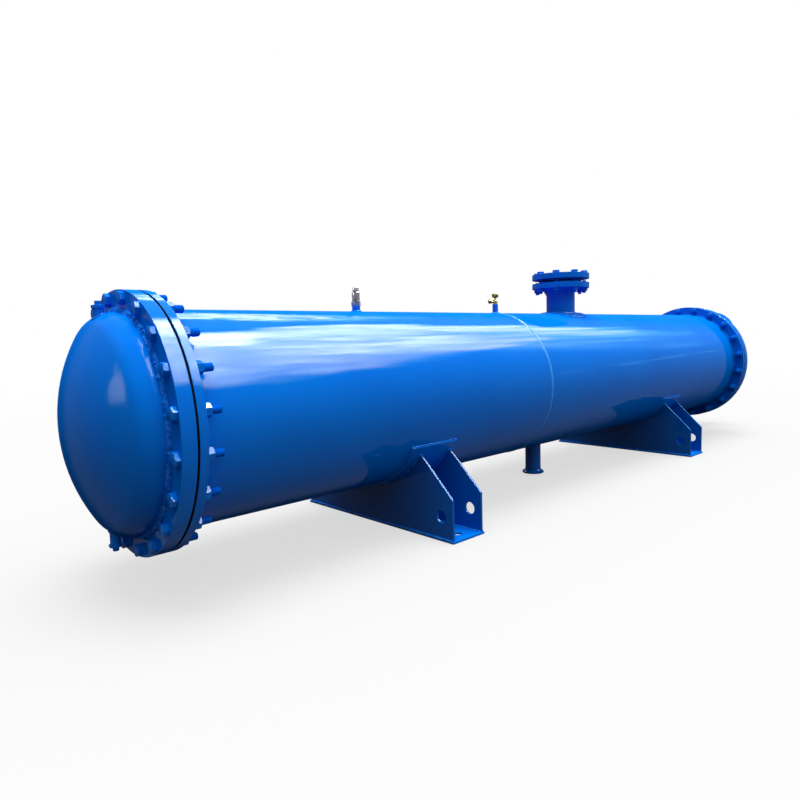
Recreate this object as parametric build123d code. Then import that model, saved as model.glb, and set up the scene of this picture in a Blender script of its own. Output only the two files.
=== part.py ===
from build123d import *
import math
import os

# Shell and tube exchanger on two saddles: a shell between two bolted tube sheets, a dished
# return head at the low X end and a dished channel head with two water nozzles at the high X end.
# X runs along the shell, Z is up from the floor, and X = 0 lies midway between the saddles.

# Shell
shell_od = 516.0
shell_wall = 8.0
axis_height = 384.0
near_course_length = 1258.0
weld_width = 12.0
weld_cap_height = 2.0

# Tube sheets, their gaskets and the bolted head flanges
tube_length = 3000.0
bundle_offset = -21.0
flange_overhang = 42.0
flange_edge = 1.0
tube_sheet_thickness = 20.0
gasket_thickness = 3.0
gasket_inset = 3.0
return_flange_thickness = 33.0
channel_flange_thickness = 39.0
bolt_edge_distance = 17.5
bolt_count = 20
bolt_size = 18.0
bolt_hole = 20.0
bolt_length = 95.0
bolt_head_height = 11.5
bolt_nut_height = 15.0
bolt_across_flats = 27.0

# Dished heads
head_step = 8.0
head_wall = 10.0
head_straight = 10.0
head_depth = 112.0
head_knuckle = 60.0
partition_thickness = 12.0
partition_clearance = 0.3

# Water nozzles on the channel head, one over the other, as large as the head has room for
water_edge_margin = 30.15
water_flange_gap = 50.0
water_flange_overhang = 55.15
water_pipe_wall = 6.0
water_flange_thickness = 22.0
water_face_inset = 31.0
water_face_height = 2.0
water_bolt_edge_distance = 20.0
water_bolt_count = 8
water_bolt_hole = 18.0
water_reach = 322.0
water_pipe_recess = 8.0
slip_clearance = 0.3

# Gas nozzle on top of the shell
gas_from_seam = 451.0
gas_pipe_od = 114.3
gas_pipe_wall = 6.0
gas_pad_od = 190.0
gas_pad_thickness = 6.0
gas_flange_od = 229.0
gas_flange_thickness = 22.0
gas_flange_height = 360.0
gas_face_od = 168.0
gas_face_height = 6.0
gas_gasket_thickness = 3.0
gas_gasket_bore = 118.0
gas_bolt_circle = 190.5
gas_bolt_count = 8
gas_bolt_size = 16.0
gas_bolt_hole = 19.0
gas_bolt_length = 80.0
gas_bolt_head_height = 10.0
gas_bolt_nut_height = 13.0
gas_bolt_across_flats = 24.0
gas_socket_bore = 115.3

# Liquid outlet under the shell
outlet_from_seam = 247.0
outlet_pipe_od = 60.3
outlet_pipe_wall = 4.0
outlet_collar_od = 84.0
outlet_lip_height = 7.0
outlet_lip_rounding = 2.5
outlet_flare_edge = 1.5
outlet_floor_gap = 8.0
outlet_socket_depth = 10.0
outlet_socket_bore = 61.3

# Safety valve
safety_from_end = 622.0
safety_stub_od = 24.0
safety_stub_bore = 12.0
safety_stub_height = 15.0
safety_hex_flats = 24.0
safety_hex_height = 15.0
safety_body_od = 23.0
safety_body_height = 30.0
safety_cap_od = 19.0
safety_cap_height = 12.0
safety_edge = 1.0

# Gauge valve
gauge_from_seam = 19.0
gauge_stub_od = 20.5
gauge_stub_bore = 8.0
gauge_stub_height = 32.0
gauge_body_od = 17.0
gauge_body_height = 15.0
gauge_spindle_od = 10.0
gauge_spindle_height = 9.0
gauge_port_od = 12.0
gauge_port_reach = 37.0
gauge_port_height = 9.0
gauge_port_nut_flats = 15.0
gauge_port_nut_length = 12.0
gauge_knob_od = 24.0
gauge_knob_height = 14.0

# Vent and drain plugs on the return head
plug_from_flange = 38.0
plug_boss_od = 22.0
vent_boss_rise = 8.0
drain_boss_rise = 15.0
plug_flats = 25.0
plug_height = 8.0
plug_key_flats = 12.0
plug_key_height = 9.0

# Saddles
saddle_pitch = 1556.0
saddle_base_width = 130.0
saddle_base_length = 676.0
saddle_base_thickness = 6.0
saddle_web_length = 668.0
saddle_web_thickness = 8.0
saddle_web_pitch = 118.0
saddle_web_side_height = 120.0
saddle_contact_angle = 55.0
saddle_web_hole = 35.0
saddle_web_hole_y = 292.0
saddle_web_hole_z = 68.0
anchor_hole = 24.0
anchor_spacing = 588.0
wear_pad_thickness = 6.0
wear_pad_angle = 61.0
wear_pad_length = 182.0
wear_pad_offset = -13.0

# Places worked out from the sizes
shell_radius = shell_od / 2
flange_od = shell_od + 2 * flange_overhang
bolt_circle = flange_od - 2 * bolt_edge_distance
head_od = shell_od - 2 * head_step
near_sheet_face = bundle_offset - tube_length / 2
far_sheet_face = bundle_offset + tube_length / 2
shell_start = near_sheet_face + tube_sheet_thickness
shell_end = far_sheet_face - tube_sheet_thickness
seam_x = shell_start + near_course_length
weld_start = seam_x - weld_width / 2
weld_end = seam_x + weld_width / 2
return_flange_back = near_sheet_face - gasket_thickness
return_flange_face = return_flange_back - return_flange_thickness
channel_flange_back = far_sheet_face + gasket_thickness
channel_flange_face = channel_flange_back + channel_flange_thickness
water_face_x = channel_flange_face + water_reach
water_spread = water_flange_gap / 2 + water_flange_overhang
water_offset = (head_od / 2 + water_spread - water_edge_margin) / 2
water_pipe_od = 2 * (water_offset - water_spread)
water_flange_od = 2 * water_offset - water_flange_gap
water_face_od = water_flange_od - 2 * water_face_inset
water_bolt_circle = water_flange_od - 2 * water_bolt_edge_distance
head_bore = head_od - 2 * head_wall
safety_x = shell_start + safety_from_end
gauge_x = seam_x + gauge_from_seam
outlet_x = seam_x + outlet_from_seam
gas_x = seam_x + gas_from_seam
gas_neck_top = gas_flange_height + gas_flange_thickness
plug_x = return_flange_face - plug_from_flange


def disc_x(diameter, x_start, x_end, y=0.0, z=0.0):
    """A round bar along X, placed from the shell's axis."""
    middle = (x_start + x_end) / 2
    bar = Cylinder(diameter / 2, x_end - x_start)
    return Pos(middle, y, axis_height + z) * Rot(0, 90, 0) * bar


def ring_x(outer, inner, x_start, x_end, y=0.0, z=0.0):
    """A round ring along X, placed from the shell's axis."""
    return disc_x(outer, x_start, x_end, y, z) - disc_x(inner, x_start, x_end, y, z)


def post_z(diameter, x, z_start, z_end, y=0.0):
    """An upright round bar, with its heights measured from the shell's axis."""
    middle = axis_height + (z_start + z_end) / 2
    return Pos(x, y, middle) * Cylinder(diameter / 2, z_end - z_start)


def hex_z(flats, x, z_start, z_end, y=0.0):
    """An upright hexagonal bar, with its heights measured from the shell's axis."""
    section = RegularPolygon(flats / 2, 6, major_radius=False)
    bar = extrude(section, z_end - z_start)
    return Pos(x, y, axis_height + z_start) * bar


def circle_points(diameter, count):
    """Points round a circle that straddle its upright centre line, as (first, second) pairs."""
    step = 360.0 / count
    angles = [math.radians(step * (index + 0.5)) for index in range(count)]
    return [(diameter / 2 * math.cos(angle), diameter / 2 * math.sin(angle)) for angle in angles]


def drill_x(body, circle, count, hole, x_start, x_end, z=0.0):
    """Drill a circle of holes along X."""
    for across, up in circle_points(circle, count):
        body -= disc_x(hole, x_start, x_end, across, up + z)
    return body


def bevel_rim(plate):
    """Break both edges of a round plate's rim."""
    rim = plate.edges().filter_by(GeomType.CIRCLE).group_by(SortBy.RADIUS)[-1]
    return chamfer(rim, flange_edge)


def hex_bolt(size, flats, head_height, nut_height, grip, length):
    """A hexagon bolt along Z with its nut: the head's seat is at zero and the nut's at the grip."""
    section = RegularPolygon(flats / 2, 6, major_radius=False)
    head = Pos(0, 0, -head_height) * extrude(section, head_height)
    shank = Pos(0, 0, length / 2) * Cylinder(size / 2, length)
    nut = Pos(0, 0, grip) * extrude(section, nut_height)
    return head + shank + nut


def head_curve(inset):
    """The dished head's crown and knuckle arcs, from its pole to its rim, under its outer face."""
    across = head_od / 2 - head_knuckle
    crown = (across**2 + head_depth**2 - head_knuckle**2) / (2 * (head_depth - head_knuckle))
    tilt = math.degrees(math.atan2(across, crown - head_depth))
    crown_centre = (head_straight + head_depth - crown, 0)
    crown_arc = CenterArc(crown_centre, crown - inset, 0, tilt)
    knuckle_arc = CenterArc((head_straight, across), head_knuckle - inset, tilt, 90 - tilt)
    return crown_arc, knuckle_arc


def head_volume(inset, start=0.0):
    """The full volume under the head's curve, with the head's rim at X = 0 and its axis on X."""
    crown_arc, knuckle_arc = head_curve(inset)
    rim = knuckle_arc @ 1
    edge = Polyline(rim, (start, rim.Y), (start, 0), crown_arc @ 0)
    return revolve(make_face([crown_arc, knuckle_arc, edge]), Axis.X, 360)


def dished_head():
    """A dished head open towards -X."""
    return head_volume(0) - head_volume(head_wall)


def at_return_head(body):
    """Turn a head that opens towards -X round, onto the return head's flange."""
    return Pos(return_flange_face, 0, axis_height) * Rot(0, 0, 180) * body


def at_channel_head(body):
    """Move a head that opens towards -X onto the channel head's flange."""
    return Pos(channel_flange_face, 0, axis_height) * body


def shell_course(x_start, x_end):
    return ring_x(shell_od, shell_od - 2 * shell_wall, x_start, x_end)


def near_course():
    course = shell_course(shell_start, weld_start)
    return course - post_z(safety_stub_bore, safety_x, 0, shell_od)


def far_course():
    course = shell_course(weld_end, shell_end)
    course -= post_z(gas_pipe_od - 2 * gas_pipe_wall, gas_x, 0, shell_od)
    course -= post_z(gauge_stub_bore, gauge_x, 0, shell_od)
    return course - post_z(outlet_pipe_od - 2 * outlet_pipe_wall, outlet_x, -shell_od, 0)


def girth_weld():
    """The butt weld that fills the gap between the two courses, with its raised cap."""
    root = shell_radius - shell_wall
    crown = (seam_x, shell_radius + weld_cap_height)
    cap = ThreePointArc((weld_start, shell_radius), crown, (weld_end, shell_radius))
    sides = Polyline(cap @ 1, (weld_end, root), (weld_start, root), cap @ 0)
    return Pos(0, 0, axis_height) * revolve(make_face([cap, sides]), Axis.X, 360)


def tube_sheet(x_start):
    x_end = x_start + tube_sheet_thickness
    sheet = bevel_rim(disc_x(flange_od, x_start, x_end))
    return drill_x(sheet, bolt_circle, bolt_count, bolt_hole, x_start, x_end)


def head_gasket(x_start):
    x_end = x_start + gasket_thickness
    gasket = ring_x(flange_od - 2 * gasket_inset, head_bore, x_start, x_end)
    return drill_x(gasket, bolt_circle, bolt_count, bolt_hole, x_start, x_end)


def head_flange(x_start, thickness):
    x_end = x_start + thickness
    flange = bevel_rim(ring_x(flange_od, head_bore, x_start, x_end))
    return drill_x(flange, bolt_circle, bolt_count, bolt_hole, x_start, x_end)


def flange_bolts(head_seat, direction, grip):
    """The ring of bolts that holds a head, with heads outboard and nuts towards the shell."""
    bolt = hex_bolt(
        bolt_size, bolt_across_flats, bolt_head_height, bolt_nut_height, grip, bolt_length
    )
    turned = Rot(0, 90 * direction, 0) * bolt
    points = circle_points(bolt_circle, bolt_count)
    bolts = [Pos(head_seat, across, axis_height + up) * turned for across, up in points]
    return Compound(children=bolts)


def water_bore(z):
    """The water way of one nozzle, through the channel head's dished wall."""
    bore = water_pipe_od - 2 * water_pipe_wall
    return disc_x(bore, channel_flange_face, water_face_x, 0, z)


def channel_dome():
    dome = at_channel_head(dished_head())
    return dome - water_bore(water_offset) - water_bore(-water_offset)


def pass_partition():
    """The plate that parts the channel head's inlet half from its outlet half."""
    start = far_sheet_face - channel_flange_face
    hollow = head_volume(head_wall + partition_clearance, start)
    reach = head_straight + head_depth - start
    plate = Pos(start + reach / 2, 0, 0) * Box(reach, head_od, partition_thickness)
    return at_channel_head(plate & hollow)


def water_neck(z):
    bore = water_pipe_od - 2 * water_pipe_wall
    pipe = ring_x(water_pipe_od, bore, channel_flange_face, water_face_x - water_pipe_recess, 0, z)
    return pipe - at_channel_head(head_volume(0))


def water_flange(z):
    back = water_face_x - water_face_height - water_flange_thickness
    step = water_face_x - water_face_height
    body = bevel_rim(disc_x(water_flange_od, back, step, 0, z))
    body += disc_x(water_face_od, step, water_face_x, 0, z)
    body -= disc_x(water_pipe_od + 2 * slip_clearance, back, water_face_x, 0, z)
    return drill_x(body, water_bolt_circle, water_bolt_count, water_bolt_hole, back, step, z)


def drill_gas_flange(body, z_start, z_end):
    for along, across in circle_points(gas_bolt_circle, gas_bolt_count):
        body -= post_z(gas_bolt_hole, gas_x + along, z_start, z_end, across)
    return body


def gas_neck():
    """The nozzle's pipe, cut to sit on the shell, up through its slip-on flange."""
    pipe = post_z(gas_pipe_od, gas_x, 0, gas_neck_top)
    pipe -= post_z(gas_pipe_od - 2 * gas_pipe_wall, gas_x, 0, gas_neck_top)
    return pipe - disc_x(shell_od, shell_start, shell_end)


def gas_pad():
    """The reinforcing pad, rolled to the shell round the nozzle's foot."""
    blank = post_z(gas_pad_od, gas_x, 0, shell_od)
    blank -= post_z(gas_pipe_od + 2 * slip_clearance, gas_x, 0, shell_od)
    blank &= disc_x(shell_od + 2 * gas_pad_thickness, seam_x, shell_end)
    return blank - disc_x(shell_od, seam_x, shell_end)


def gas_flange():
    top = gas_neck_top + gas_face_height
    body = bevel_rim(post_z(gas_flange_od, gas_x, gas_flange_height, gas_neck_top))
    body += post_z(gas_face_od, gas_x, gas_neck_top, top)
    body -= post_z(gas_pipe_od + 2 * slip_clearance, gas_x, gas_flange_height, top)
    return drill_gas_flange(body, gas_flange_height, gas_neck_top)


def gas_gasket():
    bottom = gas_neck_top + gas_face_height
    top = bottom + gas_gasket_thickness
    return post_z(gas_face_od, gas_x, bottom, top) - post_z(gas_gasket_bore, gas_x, bottom, top)


def gas_companion_flange():
    """The loose flange that the gas line is welded into."""
    bottom = gas_neck_top + gas_face_height + gas_gasket_thickness
    step = bottom + gas_face_height
    top = step + gas_flange_thickness
    body = bevel_rim(post_z(gas_flange_od, gas_x, step, top))
    body += post_z(gas_face_od, gas_x, bottom, step)
    body -= post_z(gas_socket_bore, gas_x, bottom, top)
    return drill_gas_flange(body, step, top)


def gas_bolts():
    gap = 2 * gas_face_height + gas_gasket_thickness
    grip = 2 * gas_flange_thickness + gap
    bolt = hex_bolt(
        gas_bolt_size,
        gas_bolt_across_flats,
        gas_bolt_head_height,
        gas_bolt_nut_height,
        grip,
        gas_bolt_length,
    )
    turned = Rot(180, 0, 0) * bolt
    seat = axis_height + gas_flange_height + grip
    points = circle_points(gas_bolt_circle, gas_bolt_count)
    return Compound(children=[Pos(gas_x + along, across, seat) * turned for along, across in points])


def liquid_pipe():
    """The outlet pipe, cut to sit under the shell, down into its collar."""
    end = outlet_floor_gap - axis_height + outlet_socket_depth
    pipe = post_z(outlet_pipe_od, outlet_x, end, 0)
    pipe -= post_z(outlet_pipe_od - 2 * outlet_pipe_wall, outlet_x, end, 0)
    return pipe - disc_x(shell_od, shell_start, shell_end)


def liquid_collar():
    """The flared collar on the outlet pipe's end, with a socket below for the line that leads away."""
    rim = outlet_collar_od / 2
    throat = outlet_pipe_od / 2 + outlet_flare_edge
    flare = rim - throat
    top = outlet_lip_height + flare
    curve = CenterArc((rim, top), flare, 180, 90)
    outline = Polyline(curve @ 1, (rim, 0), (0, 0), (0, top), curve @ 0)
    profile = make_face([curve, outline])
    collar = Pos(outlet_x, 0, outlet_floor_gap) * revolve(Plane.XZ * profile, Axis.Z, 360)
    lip = collar.edges().filter_by(GeomType.CIRCLE).group_by(SortBy.RADIUS)[-1]
    collar = fillet(lip, outlet_lip_rounding)
    bottom = outlet_floor_gap - axis_height
    step = bottom + outlet_socket_depth
    collar -= post_z(outlet_socket_bore, outlet_x, bottom, step)
    return collar - post_z(outlet_pipe_od, outlet_x, step, bottom + top)


def shell_stub(x, diameter, bore, height):
    """A small set-on pipe stub on top of the shell."""
    top = shell_radius + height
    stub = post_z(diameter, x, 0, top) - post_z(bore, x, 0, top)
    return stub - disc_x(shell_od, shell_start, shell_end)


def safety_valve():
    seat = shell_radius + safety_stub_height
    hex_top = seat + safety_hex_height
    body_top = hex_top + safety_body_height
    valve = hex_z(safety_hex_flats, safety_x, seat, hex_top)
    valve += post_z(safety_body_od, safety_x, hex_top, body_top)
    cap = post_z(safety_cap_od, safety_x, body_top, body_top + safety_cap_height)
    crown = cap.edges().sort_by(Axis.Z)[-1]
    return valve + chamfer(crown, safety_edge)


def gauge_valve():
    """A small angle valve: its body and port, its spindle and the knob on top."""
    seat = shell_radius + gauge_stub_height
    body_top = seat + gauge_body_height
    knob_base = body_top + gauge_spindle_height
    port_z = seat + gauge_port_height
    port_end = gauge_x - gauge_port_reach
    valve = post_z(gauge_body_od, gauge_x, seat, body_top)
    valve += post_z(gauge_spindle_od, gauge_x, body_top, knob_base)
    valve += post_z(gauge_knob_od, gauge_x, knob_base, knob_base + gauge_knob_height)
    valve += disc_x(gauge_port_od, port_end, gauge_x, 0, port_z)
    nut = extrude(RegularPolygon(gauge_port_nut_flats / 2, 6, major_radius=False), gauge_port_nut_length)
    return valve + Pos(port_end, 0, axis_height + port_z) * Rot(0, 90, 0) * nut


def boss_end(rise):
    """How far a plug boss reaches from the head's axis, from its rise above the head's side."""
    return head_od / 2 + rise


def head_boss(rise, side):
    """A plug boss on the return head, above its axis for side 1 and below for side -1."""
    ends = sorted((0.0, side * boss_end(rise)))
    return post_z(plug_boss_od, plug_x, ends[0], ends[1]) - at_return_head(head_volume(0))


def head_plug(rise, side):
    """The hexagonal plug on a boss, with the smaller key that a spanner turns."""
    seat = boss_end(rise)
    shoulder = seat + plug_height
    tip = shoulder + plug_key_height
    body_ends = sorted((side * seat, side * shoulder))
    key_ends = sorted((side * shoulder, side * tip))
    body = hex_z(plug_flats, plug_x, body_ends[0], body_ends[1])
    return body + hex_z(plug_key_flats, plug_x, key_ends[0], key_ends[1])


def saddle_base(x):
    plate = Pos(x, 0, saddle_base_thickness / 2) * Box(
        saddle_base_width, saddle_base_length, saddle_base_thickness
    )
    for side in (-1, 1):
        hole = Cylinder(anchor_hole / 2, saddle_base_thickness)
        plate -= Pos(x, side * anchor_spacing / 2, saddle_base_thickness / 2) * hole
    return plate


def saddle_web(x):
    """One upright plate of a saddle, cut to the wear pad above and drilled near both ends."""
    seat_radius = shell_radius + wear_pad_thickness
    half = saddle_web_length / 2
    angle = math.radians(saddle_contact_angle)
    horn_y = seat_radius * math.sin(angle)
    horn_z = axis_height - seat_radius * math.cos(angle)
    bottom = saddle_base_thickness
    outline = Polyline(
        (-horn_y, horn_z),
        (-half, saddle_web_side_height),
        (-half, bottom),
        (half, bottom),
        (half, saddle_web_side_height),
        (horn_y, horn_z),
    )
    seat = ThreePointArc((horn_y, horn_z), (0, axis_height - seat_radius), (-horn_y, horn_z))
    face = make_face([outline, seat])
    for side in (-1, 1):
        face -= Pos(side * saddle_web_hole_y, saddle_web_hole_z) * Circle(saddle_web_hole / 2)
    web = extrude(Plane.YZ * face, saddle_web_thickness)
    return Pos(x - saddle_web_thickness / 2, 0, 0) * web


def wear_pad(x):
    """The curved plate between the shell and a saddle's webs."""
    inner = shell_radius
    outer = shell_radius + wear_pad_thickness
    first = -90 - wear_pad_angle
    sweep = 2 * wear_pad_angle
    below = CenterArc((0, axis_height), outer, first, sweep)
    above = CenterArc((0, axis_height), inner, first, sweep)
    ends = [Line(below @ 0, above @ 0), Line(below @ 1, above @ 1)]
    pad = extrude(Plane.YZ * make_face([below, above, *ends]), wear_pad_length)
    return Pos(x + wear_pad_offset - wear_pad_length / 2, 0, 0) * pad


def saddle(name, x):
    """The four plates of one saddle."""
    return {
        f"{name}_base_plate": saddle_base(x),
        f"{name}_web_near": saddle_web(x - saddle_web_pitch / 2),
        f"{name}_web_far": saddle_web(x + saddle_web_pitch / 2),
        f"{name}_wear_pad": wear_pad(x),
    }


return_grip = return_flange_thickness + gasket_thickness + tube_sheet_thickness
channel_grip = channel_flange_thickness + gasket_thickness + tube_sheet_thickness

pieces = {
    "return_head_dome": at_return_head(dished_head()),
    "return_head_flange": head_flange(return_flange_face, return_flange_thickness),
    "return_head_gasket": head_gasket(return_flange_back),
    "return_head_bolts": flange_bolts(return_flange_face, 1, return_grip),
    "near_tube_sheet": tube_sheet(near_sheet_face),
    "shell_near_course": near_course(),
    "shell_girth_weld": girth_weld(),
    "shell_far_course": far_course(),
    "far_tube_sheet": tube_sheet(shell_end),
    "channel_gasket": head_gasket(far_sheet_face),
    "channel_flange": head_flange(channel_flange_back, channel_flange_thickness),
    "channel_bolts": flange_bolts(channel_flange_face, -1, channel_grip),
    "channel_dome": channel_dome(),
    "channel_partition": pass_partition(),
    "water_outlet_neck": water_neck(water_offset),
    "water_outlet_flange": water_flange(water_offset),
    "water_inlet_neck": water_neck(-water_offset),
    "water_inlet_flange": water_flange(-water_offset),
    "gas_nozzle_pad": gas_pad(),
    "gas_nozzle_neck": gas_neck(),
    "gas_nozzle_flange": gas_flange(),
    "gas_nozzle_gasket": gas_gasket(),
    "gas_companion_flange": gas_companion_flange(),
    "gas_nozzle_bolts": gas_bolts(),
    "liquid_outlet_pipe": liquid_pipe(),
    "liquid_outlet_collar": liquid_collar(),
    "safety_valve_stub": shell_stub(safety_x, safety_stub_od, safety_stub_bore, safety_stub_height),
    "safety_valve": safety_valve(),
    "gauge_valve_stub": shell_stub(gauge_x, gauge_stub_od, gauge_stub_bore, gauge_stub_height),
    "gauge_valve": gauge_valve(),
    "vent_boss": head_boss(vent_boss_rise, 1),
    "vent_plug": head_plug(vent_boss_rise, 1),
    "drain_boss": head_boss(drain_boss_rise, -1),
    "drain_plug": head_plug(drain_boss_rise, -1),
}
pieces.update(saddle("near_saddle", -saddle_pitch / 2))
pieces.update(saddle("far_saddle", saddle_pitch / 2))

os.makedirs("parts", exist_ok=True)
for node, shape in pieces.items():
    export_step(shape, f"parts/{node}.step")
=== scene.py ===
import bmesh
import bpy
import math
import random
from bpy.props import FloatProperty, FloatVectorProperty
from collections import namedtuple
from mathutils import Matrix, Vector, noise


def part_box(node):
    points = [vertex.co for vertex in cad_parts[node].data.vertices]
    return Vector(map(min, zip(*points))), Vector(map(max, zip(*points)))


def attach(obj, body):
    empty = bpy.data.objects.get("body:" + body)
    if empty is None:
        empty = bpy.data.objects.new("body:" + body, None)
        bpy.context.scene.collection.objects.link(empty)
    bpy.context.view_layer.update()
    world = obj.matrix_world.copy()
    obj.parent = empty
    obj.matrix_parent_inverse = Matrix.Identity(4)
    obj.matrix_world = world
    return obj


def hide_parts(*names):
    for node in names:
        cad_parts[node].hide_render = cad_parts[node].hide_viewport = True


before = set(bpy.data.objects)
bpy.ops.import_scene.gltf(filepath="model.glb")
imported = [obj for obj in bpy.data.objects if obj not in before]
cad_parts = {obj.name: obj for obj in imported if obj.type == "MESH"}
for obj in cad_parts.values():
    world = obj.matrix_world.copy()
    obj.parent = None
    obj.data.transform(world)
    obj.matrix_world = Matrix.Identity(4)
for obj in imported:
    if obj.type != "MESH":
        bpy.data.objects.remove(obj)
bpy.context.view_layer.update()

bl_info = {
    "name": "Shell and Tube Exchanger",
    "version": (1, 0, 0),
    "blender": (4, 5, 0),
    "location": "View3D > Sidebar > Exchanger",
    "description": "Finishes and fine pieces of a blue shell and tube heat exchanger",
    "category": "Object",
}

# Places read from the solids of model.glb, in metres
shell_low, shell_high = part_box("shell_near_course")
SHELL_RADIUS = (shell_high.y - shell_low.y) / 2
AXIS_HEIGHT = shell_high.z - SHELL_RADIUS
SHELL_START = shell_low.x
SHELL_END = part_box("shell_far_course")[1].x
FLANGE_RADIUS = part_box("return_head_flange")[1].y
RETURN_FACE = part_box("return_head_flange")[0].x
CHANNEL_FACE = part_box("channel_flange")[1].x
HEAD_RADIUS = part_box("return_head_dome")[1].y
HEAD_DEPTH = RETURN_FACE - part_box("return_head_dome")[0].x

# Sizes shared with the solids, in metres
SHELL_WALL = 0.008
HEAD_KNUCKLE = 0.060
HEAD_STRAIGHT = 0.010
HEAD_WALL = 0.010
HEAD_BORE = 0.240
BOLT_EDGE = 0.0175
BOLT_COUNT = 20
HEAD_BOLT_HOLE = 0.020
NOZZLE_BOLT_COUNT = 8
GAS_BOLT_CIRCLE = 0.1905
GAS_BOLT_HOLE = 0.019
GAS_FACE = 0.168
GAS_FACE_HEIGHT = 0.006
GAS_GASKET_BORE = 0.118
GAS_SOCKET_BORE = 0.1153
SLIP = 0.0003
WATER_BOLT_CIRCLE = 0.210
WATER_BOLT_HOLE = 0.018
WATER_FACE = 0.188
WATER_FACE_HEIGHT = 0.002
TUBE_OUTSIDE = 0.025
TUBE_WALL = 0.0025
TUBE_PITCH = 0.032
TUBE_ROWS = 8
TUBE_FIRST_ROW = 0.0235
TUBE_FIELD = 0.2235
BoltSize = namedtuple("BoltSize", "size pitch flats head nut length")
HEAD_BOLT = BoltSize(0.018, 0.0025, 0.027, 0.0115, 0.015, 0.095)
GAS_BOLT = BoltSize(0.016, 0.002, 0.024, 0.010, 0.013, 0.080)

# Sizes of the fine pieces, in metres
TUBE_PROUD = 0.003
SOCKET_DEPTH = 0.010
PLUG_FLATS = 0.025
PLUG_HEIGHT = 0.008
KEY_FLATS = 0.012
KEY_TOP = 0.017
SAFETY_FLATS = 0.024
SAFETY_BASE = 0.015
SAFETY_SPANNER = 0.01065
SPANNER_REACH = 0.0100
SPANNER_START = 0.0190
SPANNER_END = 0.0395
SAFETY_CAP_START = 0.045
# Heights where painted shade darkens the groove under the valve's cap
SAFETY_GROOVE_SHADE = (0.0405, 0.0415, 0.0438, 0.0446)
SAFETY_SPRAY = (0.016, 0.030)
SAFETY_OUTLINE = [
    (0.0, 0.0140), (0.0098, 0.0140), (0.0098, 0.0165), (0.0115, 0.0178), (0.0115, 0.0402), (0.0100, 0.0420),
    (0.0084, 0.0424), (0.0084, 0.0446), (0.0095, SAFETY_CAP_START), (0.0095, 0.0556), (0.0083, 0.0570),
    (0.0, 0.0570)]
GAUGE_FLATS = 0.0155
GAUGE_BASE = 0.0055
GAUGE_PORT_HEIGHT = 0.009
KNOB_START = 0.0240
KNOB_GRIP = 0.0100
KNOB_HOLLOWS = 9
KNOB_HOLLOW_SHARE = 0.09
GAUGE_OUTLINE = [
    (0.0, 0.0050), (0.0072, 0.0050), (0.0084, 0.0066), (0.0084, 0.0128), (0.0066, 0.0150),
    (0.0048, 0.0162), (0.0044, 0.0218), (0.0056, KNOB_START), (0.0112, 0.0246), (0.0120, 0.0262),
    (0.0120, 0.0364), (0.0106, 0.0380), (0.0, 0.0380)]
PORT_FLATS = 0.0145
PORT_NUT_START = 0.0235
PORT_OUTLINE = [(0.0, 0.0), (0.0050, 0.0), (0.0050, 0.0225), (0.0060, PORT_NUT_START)]
GASKET_EDGE = 0.0003
COLLAR_SLIP = 0.0005
COLLAR_LIP = 0.0015
COLLAR_EDGE = 0.0025

# Each pass of weld round a head: how far outside the dome and how far off the flange it lies
HEAD_PASSES = ((0.0048, 0.0008), (0.0010, 0.0042))
HEAD_WELD_LUMPS = 0.0016
GIRTH_RIPPLE_DEPTH = 0.0004
GIRTH_RIPPLE_SLANT = 90.0

# The stage, in metres and degrees
LAMP_SPREAD = 38.0
LAMP_HEIGHT = 6.0
FLOOR_RADIUS = 60.0
FLOOR_FADE = (2.5, 8.0)
CAMERA_RIGHT = (0.70, -0.714, 0.0)

# How finely the round pieces are cut
TURNED_STEPS = 240
GIRTH_STEPS = 640
GIRTH_RIPPLES = 320
BOLT_STEPS = 24
HOLE_SIDES = 24
TUBE_STEPS = 14
TUBE_HOLE_SIDES = 16
COLLAR_STEPS = 96
SAFETY_STEPS = 64
GAUGE_STEPS = 72
PORT_STEPS = 40

# A point that is nearer to a height than this, in metres, lies on it
NEAR = 0.000001

# Edges that bend by more than these angles, in degrees, are shaded sharp
SHARP_CUT = 28.0
SHARP_TURNED = 50.0
SHARP_PLATE = 60.0
SHARP_WELD = 70.0

# Welds of small pieces, as shares of the nozzle welds' radius
FLANGE_WELD = 0.8
STUB_WELD = 0.75
BOSS_WELD = 0.7

WHITE = (1.0, 1.0, 1.0, 1.0)
DEGREES = 180.0 / math.pi


class EXCHANGER_PG_finish(bpy.types.PropertyGroup):
    enamel: FloatVectorProperty(
        name="Enamel", description="Colour of the blue enamel", subtype="COLOR", size=3, min=0.0, max=1.0,
        default=(0.0, 0.165, 0.720))
    # This deep tone is also the painted shade in the hollows of the welds
    enamel_deep_and_shade: FloatVectorProperty(
        name="Deep enamel", description="Colour where the enamel lies thick", subtype="COLOR", size=3,
        min=0.0, max=1.0, default=(0.0, 0.145, 0.670))
    coat_roughness: FloatProperty(
        name="Coat roughness", description="Blur of the enamel's gloss", min=0.0, max=1.0, default=0.034)
    coat_ior: FloatProperty(
        name="Coat index", description="Refractive index of the gloss coat", min=1.0, max=2.5, default=1.30)
    brass: FloatVectorProperty(
        name="Brass", description="Colour of the gauge valve", subtype="COLOR", size=3, min=0.0, max=1.0,
        default=(0.330, 0.240, 0.095))
    steel: FloatVectorProperty(
        name="Steel", description="Colour of the safety valve", subtype="COLOR", size=3, min=0.0, max=1.0,
        default=(0.190, 0.165, 0.195))
    gasket: FloatVectorProperty(
        name="Gasket", description="Colour of the gaskets", subtype="COLOR", size=3, min=0.0, max=1.0,
        default=(0.004, 0.004, 0.006))


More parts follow.
